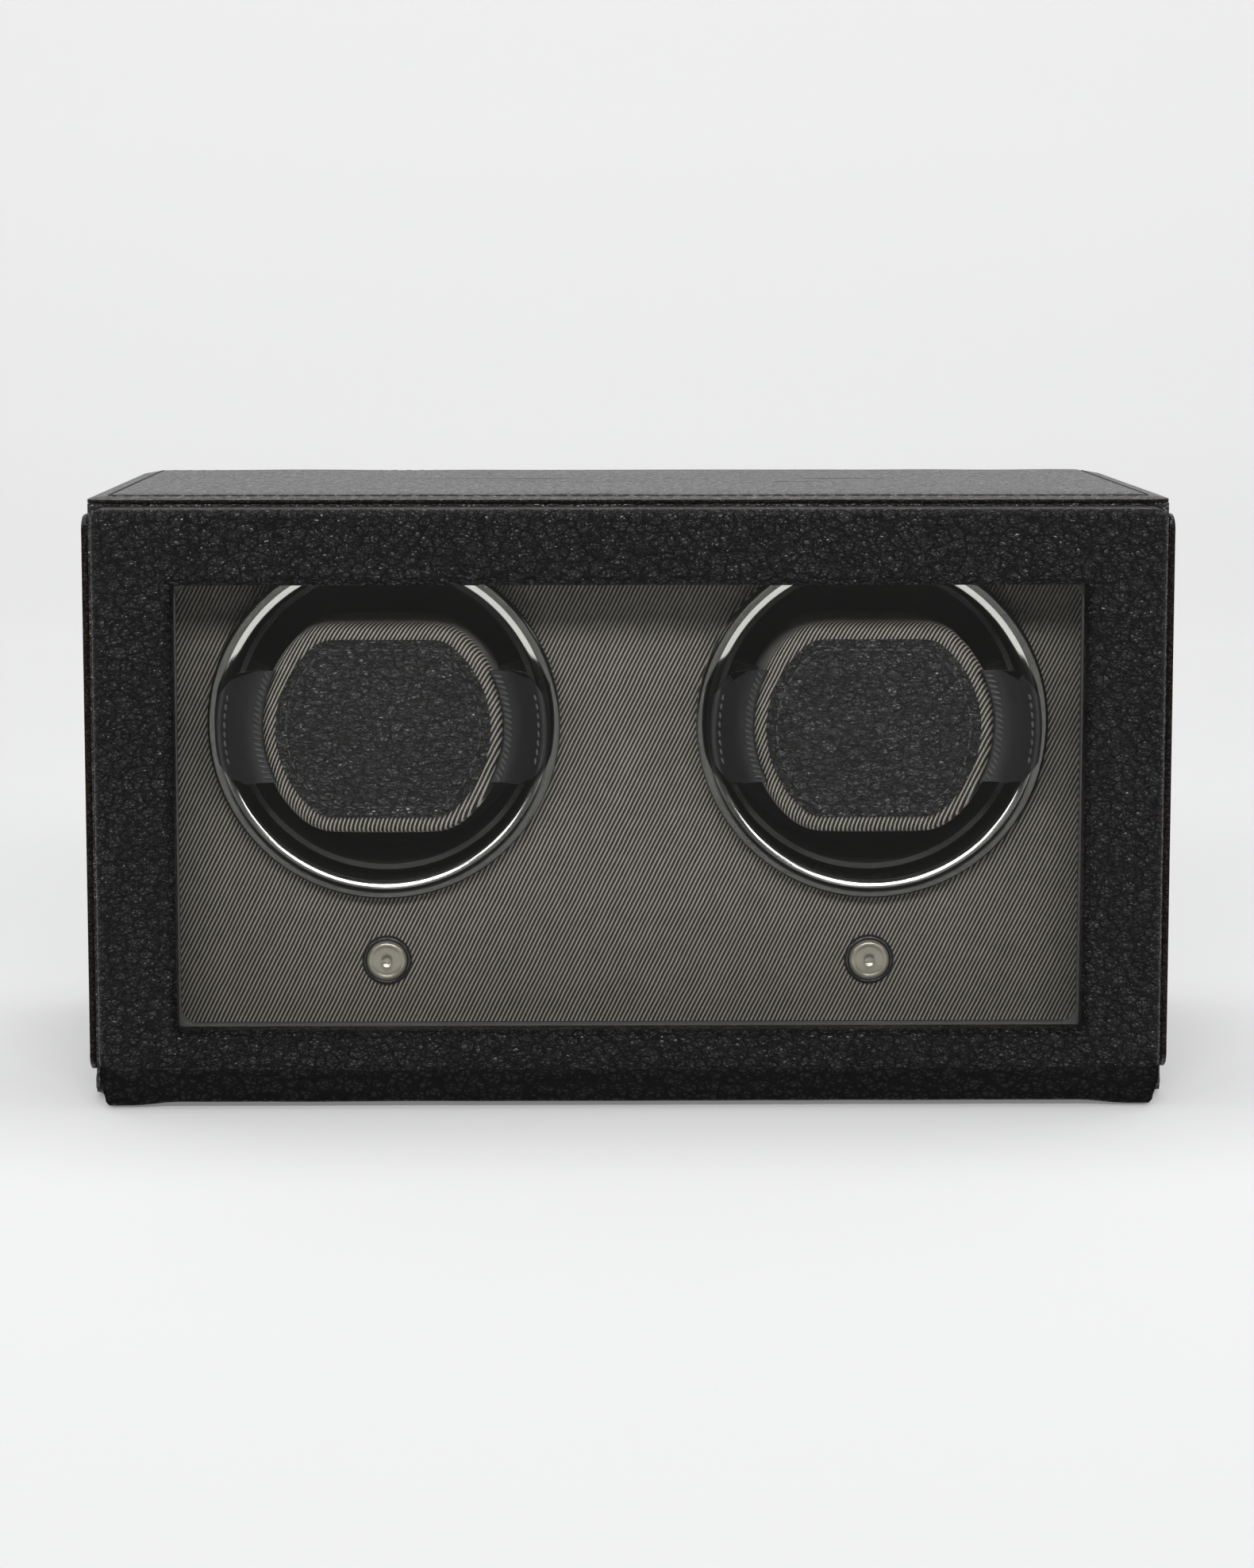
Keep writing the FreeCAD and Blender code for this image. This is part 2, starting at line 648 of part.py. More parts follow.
def gear_outline(teeth, phase):
    """Closed outline of an involute gear; one tooth points along the phase angle."""
    module = d.gear_module.value
    pressure = math.radians(20)
    pitch = teeth * module / 2
    base = pitch * math.cos(pressure)
    tip = pitch + module
    root = pitch - 1.25 * module
    start = max(base, root)
    half_tooth = (math.pi / 2 - d.gear_backlash.value / (2 * module)) / teeth + involute(pressure)
    flank_steps = 4

    def point(radius, angle):
        return Vector(radius * math.cos(angle), radius * math.sin(angle), 0)

    def flank(middle, sign):
        points = [point(root, middle + sign * half_tooth)] if root < base - 0.01 else []
        for step in range(flank_steps + 1):
            radius = start + (tip - start) * step / flank_steps
            turn = involute(math.acos(min(1.0, base / radius)))
            points.append(point(radius, middle + sign * (half_tooth - turn)))
        return points

    corners = []
    for tooth in range(teeth):
        middle = phase + 2 * math.pi * tooth / teeth
        corners += flank(middle, -1) + flank(middle, 1)[::-1]
    return Part.makePolygon(corners + corners[:1])


def gear_blank(teeth, phase, x, z, y, bore):
    """A spur gear along Y with its axis at (x, z)."""
    face = Part.Face(gear_outline(teeth, phase))
    gear = face.extrude(Vector(0, 0, -(y[1].value - y[0].value)))
    gear.rotate(Vector(), Vector(1, 0, 0), 90)
    gear.translate(Vector(x.value, y[0].value, z.value))
    hole = Part.makeCylinder(bore, 40, Vector(x.value, y[0].value - 5, z.value), Vector(0, 1, 0))
    return gear.cut(hole)


def drum_gear(side, x):
    """The ring gear on the drum's back, with a boss that runs against the bearing."""
    teeth = int(d.drum_teeth.value)
    gap = (CUP_BACK, CUP_BACK + d.gear_width)
    gear = gear_blank(teeth, -math.pi / 2, x, d.drum_height, gap, d.shaft_radius.value)
    boss_end = BEARING_FRONT - 0.1
    boss = Part.makeCylinder(8, boss_end.value - gap[1].value + 1,
                             Vector(x.value, gap[1].value - 1, d.drum_height.value), Vector(0, 1, 0))
    bore = Part.makeCylinder(d.shaft_radius.value, 40,
                             Vector(x.value, gap[0].value - 5, d.drum_height.value), Vector(0, 1, 0))
    thing = doc.addObject("Part::Feature", f"{side}_gear")
    thing.Shape = gear.fuse(boss).cut(bore).removeSplitter()
    return finish(thing, f"{side}_drum_gear")


def motor_pinion(side, x):
    """The pinion and the motor's output shaft, which turn together."""
    teeth = int(d.pinion_teeth.value)
    gap = (CUP_BACK + 0.4, CUP_BACK + 0.4 + d.gear_width)
    half_pitch = math.pi / teeth
    radius = d.motor_shaft_radius.value
    gear = gear_blank(teeth, math.pi / 2 + half_pitch, x, PINION_HEIGHT, gap, radius * 0.9)
    shaft_end = MECHANISM_BACK + 14
    shaft = Part.makeCylinder(radius, shaft_end.value - gap[0].value,
                              Vector(x.value, gap[0].value, PINION_HEIGHT.value), Vector(0, 1, 0))
    thing = doc.addObject("Part::Feature", f"{side}_pinion")
    thing.Shape = gear.fuse(shaft).removeSplitter()
    return finish(thing, f"{side}_motor_pinion")


def cuff_block(name, radius, half_height, y, x):
    """A cylinder with a flat top and a flat bottom, where the watch strap lies."""
    centre = d.drum_height - d.cuff_drop
    round_part = rod(f"{name}_round", radius, y, x=x, z=centre)
    slab = block(f"{name}_slab", (x - radius - 1, x + radius + 1), (y[0] - 1, y[1] + 1),
                 (centre - half_height, centre + half_height))
    return common(name, round_part, slab)


def cuff(side, x):
    skin = as_size(1.0)
    outer = cuff_block(f"{side}_cuff_outer", d.cuff_radius, d.cuff_half_height,
                       (CUFF_FRONT, CUFF_BACK), x)
    inner = cuff_block(f"{side}_cuff_inner", d.cuff_radius - skin, d.cuff_half_height - skin,
                       (CUFF_FRONT + skin, CUFF_BACK + 1), x)
    finish(cut(f"{side}_cuff_sock", outer, inner), f"{side}_cuff_fabric")
    core = cuff_block(f"{side}_cuff_core", d.cuff_radius - skin, d.cuff_half_height - skin,
                      (CUFF_FRONT + skin, CUFF_BACK), x)
    finish(core, f"{side}_cuff_core")
    pad = cuff_block(f"{side}_pad", d.pad_radius, d.pad_half_height,
                     (CUFF_FRONT - d.pad_thickness, CUFF_FRONT), x)
    finish(pad, f"{side}_cuff_pad")


def cuff_wings(side, x):
    """Two springy side wings: a tab that flares forward and a bow that grips the drum cup."""
    tip = CUFF_FRONT - 10.0
    grip = d.cup_radius - d.cup_wall - 0.1
    seat = d.cuff_radius + 0.5
    wall = 2.2
    profile = [
        (d.wing_reach, tip + 0.8), (d.wing_reach - 6.0, tip + 8.5), (seat + wall + 0.6, tip + 13.0),
        (seat + wall, tip + 20.0), (grip, tip + 36.0), (grip, tip + 41.0),
        (seat + wall, CUFF_BACK), (seat, CUFF_BACK), (seat, CUFF_BACK - 2.5),
        (grip - 2.0, tip + 39.6), (grip - 2.0, tip + 37.2), (seat, tip + 22.0),
        (seat, tip + 11.6), (d.wing_reach - 7.6, tip + 7.0), (d.wing_reach - 1.8, tip)]
    ring = turned(f"{side}_wing_ring", profile, x=x, z=d.drum_height)
    slab = block(f"{side}_wing_slab", (x - 60, x + 60), (tip - 1, CUFF_BACK + 1),
                 (d.drum_height - d.wing_half_height, d.drum_height + d.wing_half_height))
    return finish(common(f"{side}_wings", ring, slab), f"{side}_cuff_wings")


# ---------------------------------------------------------------- drive

def motor(side, x):
    """A gear motor with a boss that locates it in the mechanism board."""
    bore = d.motor_shaft_radius + d.running_gap
    boss = 3.5
    can_back = MECHANISM_BACK + d.motor_length
    profile = [
        (bore, MECHANISM_FRONT), (boss, MECHANISM_FRONT), (boss, MECHANISM_BACK),
        (d.motor_radius, MECHANISM_BACK), (d.motor_radius, MECHANISM_BACK + 18),
        (d.motor_radius - 1, MECHANISM_BACK + 18.5), (d.motor_radius - 1, can_back - 1),
        (d.motor_radius - 2, can_back), (0, can_back), (0, MECHANISM_BACK + 15),
        (bore, MECHANISM_BACK + 15)]
    can = turned(f"{side}_motor_can", profile, x=x, z=PINION_HEIGHT)
    holes = [rod(f"{side}_motor_hole", d.screw_radius, (MECHANISM_BACK - 1, MECHANISM_BACK + 8),
                 x=screw_x, z=PINION_HEIGHT) for screw_x in motor_screw_places(x)]
    return finish(cut(f"{side}_motor_piece", can, *holes), f"{side}_motor")


def motor_screw_places(x):
    return [x - d.motor_screw_spread / 2, x + d.motor_screw_spread / 2]


def screw(name, x, z, head_front, tip, radius=None):
    """A small screw driven along +Y, with a drive recess in its head."""
    radius = radius or d.screw_radius
    head_back = head_front + d.screw_head_height
    profile = [
        (0, head_front + 0.9), (0.9, head_front + 0.9), (0.9, head_front),
        (d.screw_head_radius - 0.5, head_front), (d.screw_head_radius, head_front + 0.7),
        (d.screw_head_radius, head_back), (radius, head_back), (radius, tip - 0.6),
        (radius - 0.5, tip), (0, tip)]
    return turned(name, profile, x=x, z=z)


def motor_screws():
    head_front = MECHANISM_FRONT - d.screw_head_height
    pieces = []
    for side, sign in SIDES:
        for x in motor_screw_places(d.drum_spacing / 2 * sign):
            pieces.append(screw(f"{side}_motor_screw", x, PINION_HEIGHT, head_front,
                                MECHANISM_BACK + 7))
    return finish(group("motor_screw_group", pieces), "motor_screws")


def mechanism_board():
    """The inner board that carries the two bearings and the two motors."""
    y = (MECHANISM_FRONT, MECHANISM_BACK)
    through = (MECHANISM_FRONT - 1, MECHANISM_BACK + 1)
    blank = block("mechanism_blank", (-ROOM_SIDE, ROOM_SIDE), y, (BASE_TOP, TOP_BOTTOM))
    holes = [rod("mechanism_cable_hole", d.cable_hole_radius, through, z=d.cable_hole_height)]
    for side, sign in SIDES:
        x = d.drum_spacing / 2 * sign
        holes.append(rod("mechanism_bearing_hole", d.bearing_radius, through, x=x, z=d.drum_height))
        holes.append(rod("mechanism_boss_hole", 3.5, through, x=x, z=PINION_HEIGHT))
        holes += [rod("mechanism_screw_hole", d.screw_radius, through, x=screw_x, z=PINION_HEIGHT)
                  for screw_x in motor_screw_places(x)]
    return finish(cut("mechanism_piece", blank, *holes), "mechanism_board")


def drum_bearings():
    """Flanged bronze bearings pressed into the mechanism board."""
    bore = d.shaft_radius + d.running_gap
    end = BEARING_FRONT + d.bearing_length
    profile = [
        (bore, BEARING_FRONT), (d.bearing_radius + 2, BEARING_FRONT),
        (d.bearing_radius + 2, MECHANISM_FRONT), (d.bearing_radius, MECHANISM_FRONT),
        (d.bearing_radius, end), (bore, end)]
    pieces = [turned(f"{side}_bearing", profile, x=d.drum_spacing / 2 * sign, z=d.drum_height)
              for side, sign in SIDES]
    return finish(group("bearing_pair", pieces), "drum_bearings")


# ---------------------------------------------------------------- buttons and circuit

SLEEVE_BORE = d.button_radius + d.running_gap
SLEEVE_RADIUS = SLEEVE_BORE + d.sleeve_wall
CIRCUIT_BOTTOM = d.button_height - d.circuit_height / 2
CIRCUIT_TOP = d.button_height + d.circuit_height / 2
CIRCUIT_CORNERS = [((d.circuit_width / 2 - 5) * sign, z) for side, sign in SIDES
                   for z in (CIRCUIT_BOTTOM + 5, CIRCUIT_TOP - 5)]
PLUNGER_RADIUS = as_size(1.7)


def button_bezel(side, x):
    front = FASCIA_FRONT - d.bezel_stand
    profile = [
        (SLEEVE_BORE, front + 0.3), (SLEEVE_BORE + 0.3, front), (d.bezel_radius - 0.5, front),
        (d.bezel_radius, front + 0.5), (d.bezel_radius, FASCIA_FRONT),
        (SLEEVE_RADIUS, FASCIA_FRONT), (SLEEVE_RADIUS, BEZEL_BACK), (SLEEVE_BORE, BEZEL_BACK)]
    return finish(turned(f"{side}_bezel", profile, x=x, z=d.button_height), f"{side}_button_bezel")


def push_button(side, x):
    """The cap has a shallow dimple; its collar stops it in the sleeve."""
    front = FASCIA_FRONT - d.button_stand
    collar = BEZEL_BACK + 0.1
    profile = [
        (0, front + 0.5), (2.0, front + 0.35), (3.6, front), (4.9, front + 0.2),
        (d.button_radius, front + 1.1), (d.button_radius, collar),
        (SLEEVE_RADIUS - 0.1, collar), (SLEEVE_RADIUS - 0.1, collar + 0.8),
        (PLUNGER_RADIUS, collar + 0.8), (PLUNGER_RADIUS, CIRCUIT_FRONT - 2.2),
        (0, CIRCUIT_FRONT - 2.2)]
    return finish(turned(f"{side}_button", profile, x=x, z=d.button_height), f"{side}_push_button")


def button_switch(side, x):
    """The switch housing on the circuit board, with the bore for the plunger."""
    front = CIRCUIT_FRONT - 4.0
    housing = block(f"{side}_switch_housing", (x - 3, x + 3), (front, CIRCUIT_FRONT),
                    (d.button_height - 3, d.button_height + 3))
    bore = rod(f"{side}_switch_bore", PLUNGER_RADIUS + d.running_gap, (front - 1, CIRCUIT_FRONT - 0.6),
               x=x, z=d.button_height)
    return finish(cut(f"{side}_switch_piece", housing, bore), f"{side}_switch")


def control_board():
    """The circuit board with its chip, two capacitors and three lead sockets."""
    side = d.circuit_width / 2
    sheet_part = block("circuit_sheet", (-side, side), (CIRCUIT_FRONT, CIRCUIT_BACK),
                       (CIRCUIT_BOTTOM, CIRCUIT_TOP))
    middle = d.button_height
    chip = block("circuit_chip", (-45, -33), (CIRCUIT_BACK, CIRCUIT_BACK + 2.4),
                 (middle - 4, middle + 4))
    capacitors = [rod("circuit_capacitor", 4.0, (CIRCUIT_BACK, CIRCUIT_BACK + 9), x=x, z=middle)
                  for x in (38, 50)]
    sockets = [block("circuit_socket", (x - 4, x + 4), (CIRCUIT_BACK, CIRCUIT_BACK + 5),
                     (middle - 3, middle + 3)) for x in (-18, 0, 18)]
    board = unite("circuit_board", sheet_part, chip, *capacitors, *sockets)
    holes = [rod("circuit_hole", d.screw_radius, (CIRCUIT_FRONT - 1, CIRCUIT_BACK + 1), x=x, z=z)
             for x, z in CIRCUIT_CORNERS]
    return finish(cut("circuit_piece", board, *holes), "control_board")


def board_spacers():
    profile = tube_profile(d.screw_radius, d.screw_radius + 1.5, (FASCIA_BACK, CIRCUIT_FRONT))
    pieces = [turned("board_spacer", profile, x=x, z=z) for x, z in CIRCUIT_CORNERS]
    return finish(group("spacer_group", pieces), "board_spacers")


def board_screws():
    """Four screws driven forward through the circuit board into the fascia board."""
    head_back = CIRCUIT_BACK + d.screw_head_height
    tip = FASCIA_BACK - 4
    profile = [
        (0, tip), (d.screw_radius - 0.5, tip), (d.screw_radius, tip + 0.6),
        (d.screw_radius, CIRCUIT_BACK), (d.screw_head_radius, CIRCUIT_BACK),
        (d.screw_head_radius, head_back - 0.7), (d.screw_head_radius - 0.5, head_back),
        (0.9, head_back), (0.9, head_back - 0.9), (0, head_back - 0.9)]
    pieces = [turned("board_screw", profile, x=x, z=z) for x, z in CIRCUIT_CORNERS]
    return finish(group("board_screw_group", pieces), "board_screws")


# ---------------------------------------------------------------- power and leads

def power_jack():
    """A coaxial power socket, flush with the back leather, with its contact pin."""
    inner_end = BACK - d.jack_length
    bore_end = BACK - d.jack_bore_depth
    pin = 1.0
    profile = [
        (0, inner_end), (d.jack_radius, inner_end), (d.jack_radius, BOARD_BACK),
        (d.jack_flange_radius, BOARD_BACK), (d.jack_flange_radius, BACK - 0.3),
        (d.jack_flange_radius - 0.3, BACK), (d.jack_bore_radius, BACK),
        (d.jack_bore_radius, bore_end), (pin, bore_end), (pin, BACK - 1.0), (0, BACK - 0.8)]
    return finish(turned("jack", profile, x=d.jack_offset, z=d.jack_height), "power_jack")


def jack_nut():
    """The hexagonal nut that clamps the socket from inside the case."""
    across = 5.8
    nut = doc.addObject("Part::Prism", "jack_hexagon")
    nut.Polygon = 6
    nut.Placement = FreeCAD.Placement(Vector(), TURN_TO_Y)
    bind(nut, Circumradius=across, Height=2.0)
    move(nut, d.jack_offset, ROOM_BACK - 2.0, d.jack_height)
    bore = rod("jack_nut_bore", d.jack_radius, (ROOM_BACK - 3, ROOM_BACK + 1),
               x=d.jack_offset, z=d.jack_height)
    return finish(cut("jack_nut_piece", nut, bore), "jack_nut")


def elbow(corner, before, after):
    """The bend of a lead at a corner, and how much of each straight it takes up."""
    turn = before.getAngle(after)
    reach = d.lead_bend_radius.value * math.tan(turn / 2)
    start = corner - before * reach
    inward = (after - before * before.dot(after)).normalize()
    centre = start + inward * d.lead_bend_radius.value
    section = Part.Face(Part.Wire(Part.makeCircle(d.lead_radius.value, start, before)))
    return section.revolve(centre, before.cross(after), math.degrees(turn)), reach


def lead(name, places):
    """A round lead through the given places, bent to one radius at each corner."""
    points = [Vector(*(as_size(number).value for number in place)) for place in places]
    runs = [(after - before).normalize() for before, after in zip(points, points[1:])]
    bends = [elbow(*corner) for corner in zip(points[1:-1], runs, runs[1:])]
    taken = [0] + [reach for _, reach in bends] + [0]
    pieces = [bend for bend, _ in bends]
    for number, run in enumerate(runs):
        start = points[number] + run * taken[number]
        length = (points[number + 1] - start).Length - taken[number + 1]
        pieces.append(Part.makeCylinder(d.lead_radius.value, length, start, run))
    thing = doc.addObject("Part::Feature", name)
    thing.Shape = pieces[0].multiFuse(pieces[1:]).removeSplitter()
    return thing


def leads():
    socket_back = CIRCUIT_BACK + 5
    middle = d.button_height
    inner_end = BACK - d.jack_length
    power = lead("power_lead_pipe", [
        (d.jack_offset, inner_end, d.jack_height), (d.jack_offset, inner_end - 14, d.jack_height),
        (0, MECHANISM_BACK + 19, middle), (0, socket_back, middle)])
    finish(power, "power_lead")
    motor_leads = []
    for side, sign in SIDES:
        x = d.drum_spacing / 2 * sign
        motor_back = MECHANISM_BACK + d.motor_length
        motor_leads.append(lead(f"{side}_motor_lead_pipe", [
            (x, motor_back, PINION_HEIGHT), (x, motor_back + 9, PINION_HEIGHT),
            (5 * sign, MECHANISM_BACK + 29, 31), (5 * sign, MECHANISM_FRONT - 7, 31),
            (18 * sign, MECHANISM_FRONT - 29, middle), (18 * sign, socket_back, middle)]))
    finish(group("motor_lead_pair", motor_leads), "motor_leads")


# ---------------------------------------------------------------- assembly

def build_case():
    base_board()
    top_board()
    side_boards()
    back_board()
    base_leather()
    side_and_back_leather()
    top_leather()
    front_edge_leather()
    cavity_lining()
    foot_pads()
    catch_magnets()


def build_door():
    door_frame_board()
    door_leather()
    door_back_lining()
    hinge_leather()
    glass_pane()
    glass_retainer()


def build_fascia():
    finish(fascia_layer("fascia_cloth", (FASCIA_FRONT, FASCIA_BOARD_FRONT)), "fascia_fabric")
    finish(fascia_layer("fascia_wood", (FASCIA_BOARD_FRONT, FASCIA_BACK), pilot_depth=4),
           "fascia_board")
    control_board()
    board_spacers()
    board_screws()
    for side, sign in SIDES:
        x = d.button_spacing / 2 * sign
        button_bezel(side, x)
        push_button(side, x)
        button_switch(side, x)


def build_drums():
    mechanism_board()
    drum_bearings()
    motor_screws()
    for side, sign in SIDES:
        x = d.drum_spacing / 2 * sign
        chrome_ring(side, x)
        drum_cup(side, x)
        drum_shaft(side, x)
        retaining_clip(side, x)
        drum_gear(side, x)
        motor(side, x)
        motor_pinion(side, x)
        cuff(side, x)
        cuff_wings(side, x)


def check_and_write():
    doc.recompute()
    for thing in doc.Objects:
        if "Invalid" in thing.State or "Error" in thing.State:
            raise RuntimeError(f"{thing.Label} did not rebuild: {thing.State}")
    for thing in finished:
        if thing.Shape.isNull() or not thing.Shape.isValid() or not thing.Shape.Solids:
            raise RuntimeError(f"{thing.Label} has no valid solid")
    os.makedirs("parts", exist_ok=True)
    for thing in finished:
        thing.Shape.exportStep(f"parts/{thing.Label}.step")


build_case()
build_door()
build_fascia()
build_drums()
power_jack()
jack_nut()
leads()
check_and_write()
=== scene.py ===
import math

import bmesh
import bpy
from mathutils import Matrix, Vector, noise


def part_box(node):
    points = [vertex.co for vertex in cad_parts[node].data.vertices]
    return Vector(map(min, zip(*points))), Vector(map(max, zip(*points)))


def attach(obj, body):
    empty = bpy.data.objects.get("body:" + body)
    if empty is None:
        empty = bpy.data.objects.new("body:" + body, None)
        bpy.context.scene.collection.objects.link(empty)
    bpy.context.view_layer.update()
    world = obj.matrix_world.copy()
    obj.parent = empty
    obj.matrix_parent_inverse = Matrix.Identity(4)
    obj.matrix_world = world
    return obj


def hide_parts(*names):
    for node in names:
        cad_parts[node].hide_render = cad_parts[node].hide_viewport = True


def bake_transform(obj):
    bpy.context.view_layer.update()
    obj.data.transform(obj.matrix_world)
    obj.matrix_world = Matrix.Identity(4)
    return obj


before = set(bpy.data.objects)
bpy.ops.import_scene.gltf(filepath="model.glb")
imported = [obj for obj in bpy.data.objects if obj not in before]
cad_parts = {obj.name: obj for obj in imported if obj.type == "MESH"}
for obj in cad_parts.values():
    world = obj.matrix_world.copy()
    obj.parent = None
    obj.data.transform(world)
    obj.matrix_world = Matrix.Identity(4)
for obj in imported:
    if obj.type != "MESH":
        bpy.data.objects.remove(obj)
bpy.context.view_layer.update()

# The looks of a two-watch winder box. Lengths are metres in the row frame: X to the
# right, Y from the door to the back, Z up. Places come from the CAD nodes' boxes.

MM = 0.001
SIDES = ("left", "right")


# ---------------------------------------------------------------- meshes

def make_mesh(name, points, faces):
    mesh = bpy.data.meshes.new(name)
    mesh.from_pydata([tuple(point) for point in points], [], faces)
    mesh.validate()
    mesh.polygons.foreach_set("use_smooth", [True] * len(mesh.polygons))
    thing = bpy.data.objects.new(name, mesh)
    bpy.context.scene.collection.objects.link(thing)
    return thing


def dress(thing, material, body=None, replaced=()):
    """Gives a piece its material, its body and the nodes it stands for."""
    thing.data.materials.clear()
    thing.data.materials.append(MATERIAL[material])
    if body:
        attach(thing, body)
    if replaced:
        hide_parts(*replaced)
    return thing


def fix_normals(thing):
    shape = bmesh.new()
    shape.from_mesh(thing.data)
    bmesh.ops.remove_doubles(shape, verts=shape.verts, dist=1e-7)
    bmesh.ops.recalc_face_normals(shape, faces=shape.faces)
    shape.to_mesh(thing.data)
    shape.free()
    return thing


def loft(name, loops, closed=False):
    """Joins point loops of equal length into a surface: capped, or closed on itself."""
    count = len(loops[0])
    points = [point for loop in loops for point in loop]
    faces = []
    rows = len(loops) if closed else len(loops) - 1
    for row in range(rows):
        here = row * count
        after = ((row + 1) % len(loops)) * count
        for k in range(count):
            n = (k + 1) % count
            faces.append((here + k, here + n, after + n, after + k))
    if not closed:
        last = (len(loops) - 1) * count
        faces.append(tuple(range(count))[::-1])
        faces.append(tuple(range(last, last + count)))
    return fix_normals(make_mesh(name, points, faces))


def lathe(name, profile, centre, steps=160):
    """Turns a closed (radius, y) profile about the Y axis through centre = (x, z)."""
    loops = []
    for step in range(steps):
        angle = 2 * math.pi * step / steps
        loops.append([(centre[0] + r * math.cos(angle), y, centre[1] + r * math.sin(angle))
                      for r, y in profile])
    return loft(name, loops, closed=True)


def curve_piece(p0, p1, p2, p3, steps):
    """Points of a Catmull-Rom curve from p1 up to, but not including, p2."""
    shares = [step / steps for step in range(steps)]
    return [0.5 * ((2 * p1) + (p2 - p0) * t + (2 * p0 - 5 * p1 + 4 * p2 - p3) * t * t
                   + (3 * p1 - p0 - 3 * p2 + p3) * t ** 3) for t in shares]


def smooth_path(points, steps=6):
    """A curve through the given points, which keeps both ends."""
    padded = [Vector(point) for point in (points[0], *points, points[-1])]
    result = []
    for four in zip(padded, padded[1:], padded[2:], padded[3:]):
        result += curve_piece(*four, steps)
    return result + [padded[-1]]


def closed_smooth(points, steps=4):
    """A closed curve through the given points."""
    knots = [Vector(point) for point in points]
    result = []
    for k in range(len(knots)):
        four = [knots[(k + j) % len(knots)] for j in (-1, 0, 1, 2)]
        result += curve_piece(*four, steps)
    return result


def quarter(radius):
    """Pairs of distances round a quarter circle: one grows from 0, the other falls to 0."""
    angles = [math.radians(15 * k) for k in range(7)]
    return [(radius * (1 - math.cos(angle)), radius * (1 - math.sin(angle))) for angle in angles]


def rounded_rectangle(low, high, radius, counts, corner_steps=6):
    """(a, b) points round a rectangle with rounded corners, starting on the lower side."""
    a0, b0 = low
    a1, b1 = high
    radius = max(radius, 0.05 * MM)
    across, up = counts
    corners = [((a1 - radius, b0 + radius), -90), ((a1 - radius, b1 - radius), 0),
               ((a0 + radius, b1 - radius), 90), ((a0 + radius, b0 + radius), 180)]
    starts = [(a0 + radius, b0), (a1, b0 + radius), (a1 - radius, b1), (a0, b1 - radius)]
    ends = [(a1 - radius, b0), (a1, b1 - radius), (a0 + radius, b1), (a0, b0 + radius)]
    result = []
    for k in range(4):
        steps = across if k % 2 == 0 else up
        (sa, sb), (ea, eb) = starts[k], ends[k]
        for step in range(steps):
            t = step / steps
            result.append((sa + (ea - sa) * t, sb + (eb - sb) * t))
        (ca, cb), turn = corners[k]
        for step in range(corner_steps):
            angle = math.radians(turn + 90 * step / corner_steps)
            result.append((ca + radius * math.cos(angle), cb + radius * math.sin(angle)))
    return result


def middle(low, high):
    """(x, z) of the middle of a box."""
    return ((low[0] + high[0]) / 2, (low[2] + high[2]) / 2)


def from_point(radius, y, steps):
    """(radius, y) places given in millimetres from a starting one."""
    return [(radius + out * MM, y + back * MM) for out, back in steps]


def ease(value, low, high):
    t = min(1.0, max(0.0, (value - low) / (high - low)))
    return t * t * (3 - 2 * t)


def wander(point, scale, amount):
    """Smooth noise of the given amount at a place."""
    return amount * noise.noise(Vector(point) / scale)


def stitches(name, path, pitch, length, width, height, closed=True, lean=0.0):
    """Thread stitches along a path of (point, normal) pairs, as short rounded bars."""
    spots = [(Vector(point), Vector(normal).normalized()) for point, normal in path]
    if closed:
        spots.append(spots[0])
    lengths = [0.0]
    for (a, _), (b, _) in zip(spots, spots[1:]):
        lengths.append(lengths[-1] + (b - a).length)
    total = lengths[-1]
    count = max(2, round(total / pitch))
    points, faces = [], []
    segment = 0
    for k in range(count):
        target = total * (k + 0.5) / count
        while segment < len(lengths) - 2 and lengths[segment + 1] < target:
            segment += 1
        (a, na), (b, nb) = spots[segment], spots[segment + 1]
        span = max(1e-9, lengths[segment + 1] - lengths[segment])
        t = (target - lengths[segment]) / span
        centre = a.lerp(b, t)
        normal = na.lerp(nb, t).normalized()
        along = (b - a).normalized()
        along = Matrix.Rotation(math.radians(lean), 3, normal) @ along
        across = normal.cross(along).normalized()
        base = len(points)
        rings, around = 5, 6
        for ring in range(rings):
            u = -1 + 2 * ring / (rings - 1)
            swell = math.sqrt(max(0.04, 1 - u * u * 0.92))
            for j in range(around):
                angle = 2 * math.pi * j / around
                offset = (across * math.cos(angle) * width / 2
                          + normal * math.sin(angle) * height / 2) * swell
                points.append(centre + along * u * length / 2 + offset)
        for ring in range(rings - 1):
            for j in range(around):
                n = (j + 1) % around
                faces.append((base + ring * around + j, base + ring * around + n,
                              base + (ring + 1) * around + n, base + (ring + 1) * around + j))
        faces.append(tuple(base + j for j in range(around))[::-1])
        faces.append(tuple(base + (rings - 1) * around + j for j in range(around)))
    return fix_normals(make_mesh(name, points, faces))


# ---------------------------------------------------------------- materials

def new_material(name):
    material = bpy.data.materials.new(name)
    material.use_nodes = True
    tree = material.node_tree
    return material, tree, tree.nodes["Principled BSDF"]


def feed(tree, node, inputs):
    """Sets or links a node's inputs, by name or number."""
    for key, value in inputs.items():
        if isinstance(value, bpy.types.NodeSocket):
            tree.links.new(value, node.inputs[key])
        else:
            node.inputs[key].default_value = value
    return node


def add(tree, kind, inputs=None, **settings):
    """Adds a node, sets its properties and feeds its inputs."""
    node = tree.nodes.new(kind)
    for key, value in settings.items():
        setattr(node, key, value)
    return feed(tree, node, inputs or {})


def calc(tree, operation, first, second=0.0, third=None):
    inputs = {0: first, 1: second}
    if third is not None:
        inputs[2] = third
    return add(tree, "ShaderNodeMath", inputs, operation=operation).outputs[0]


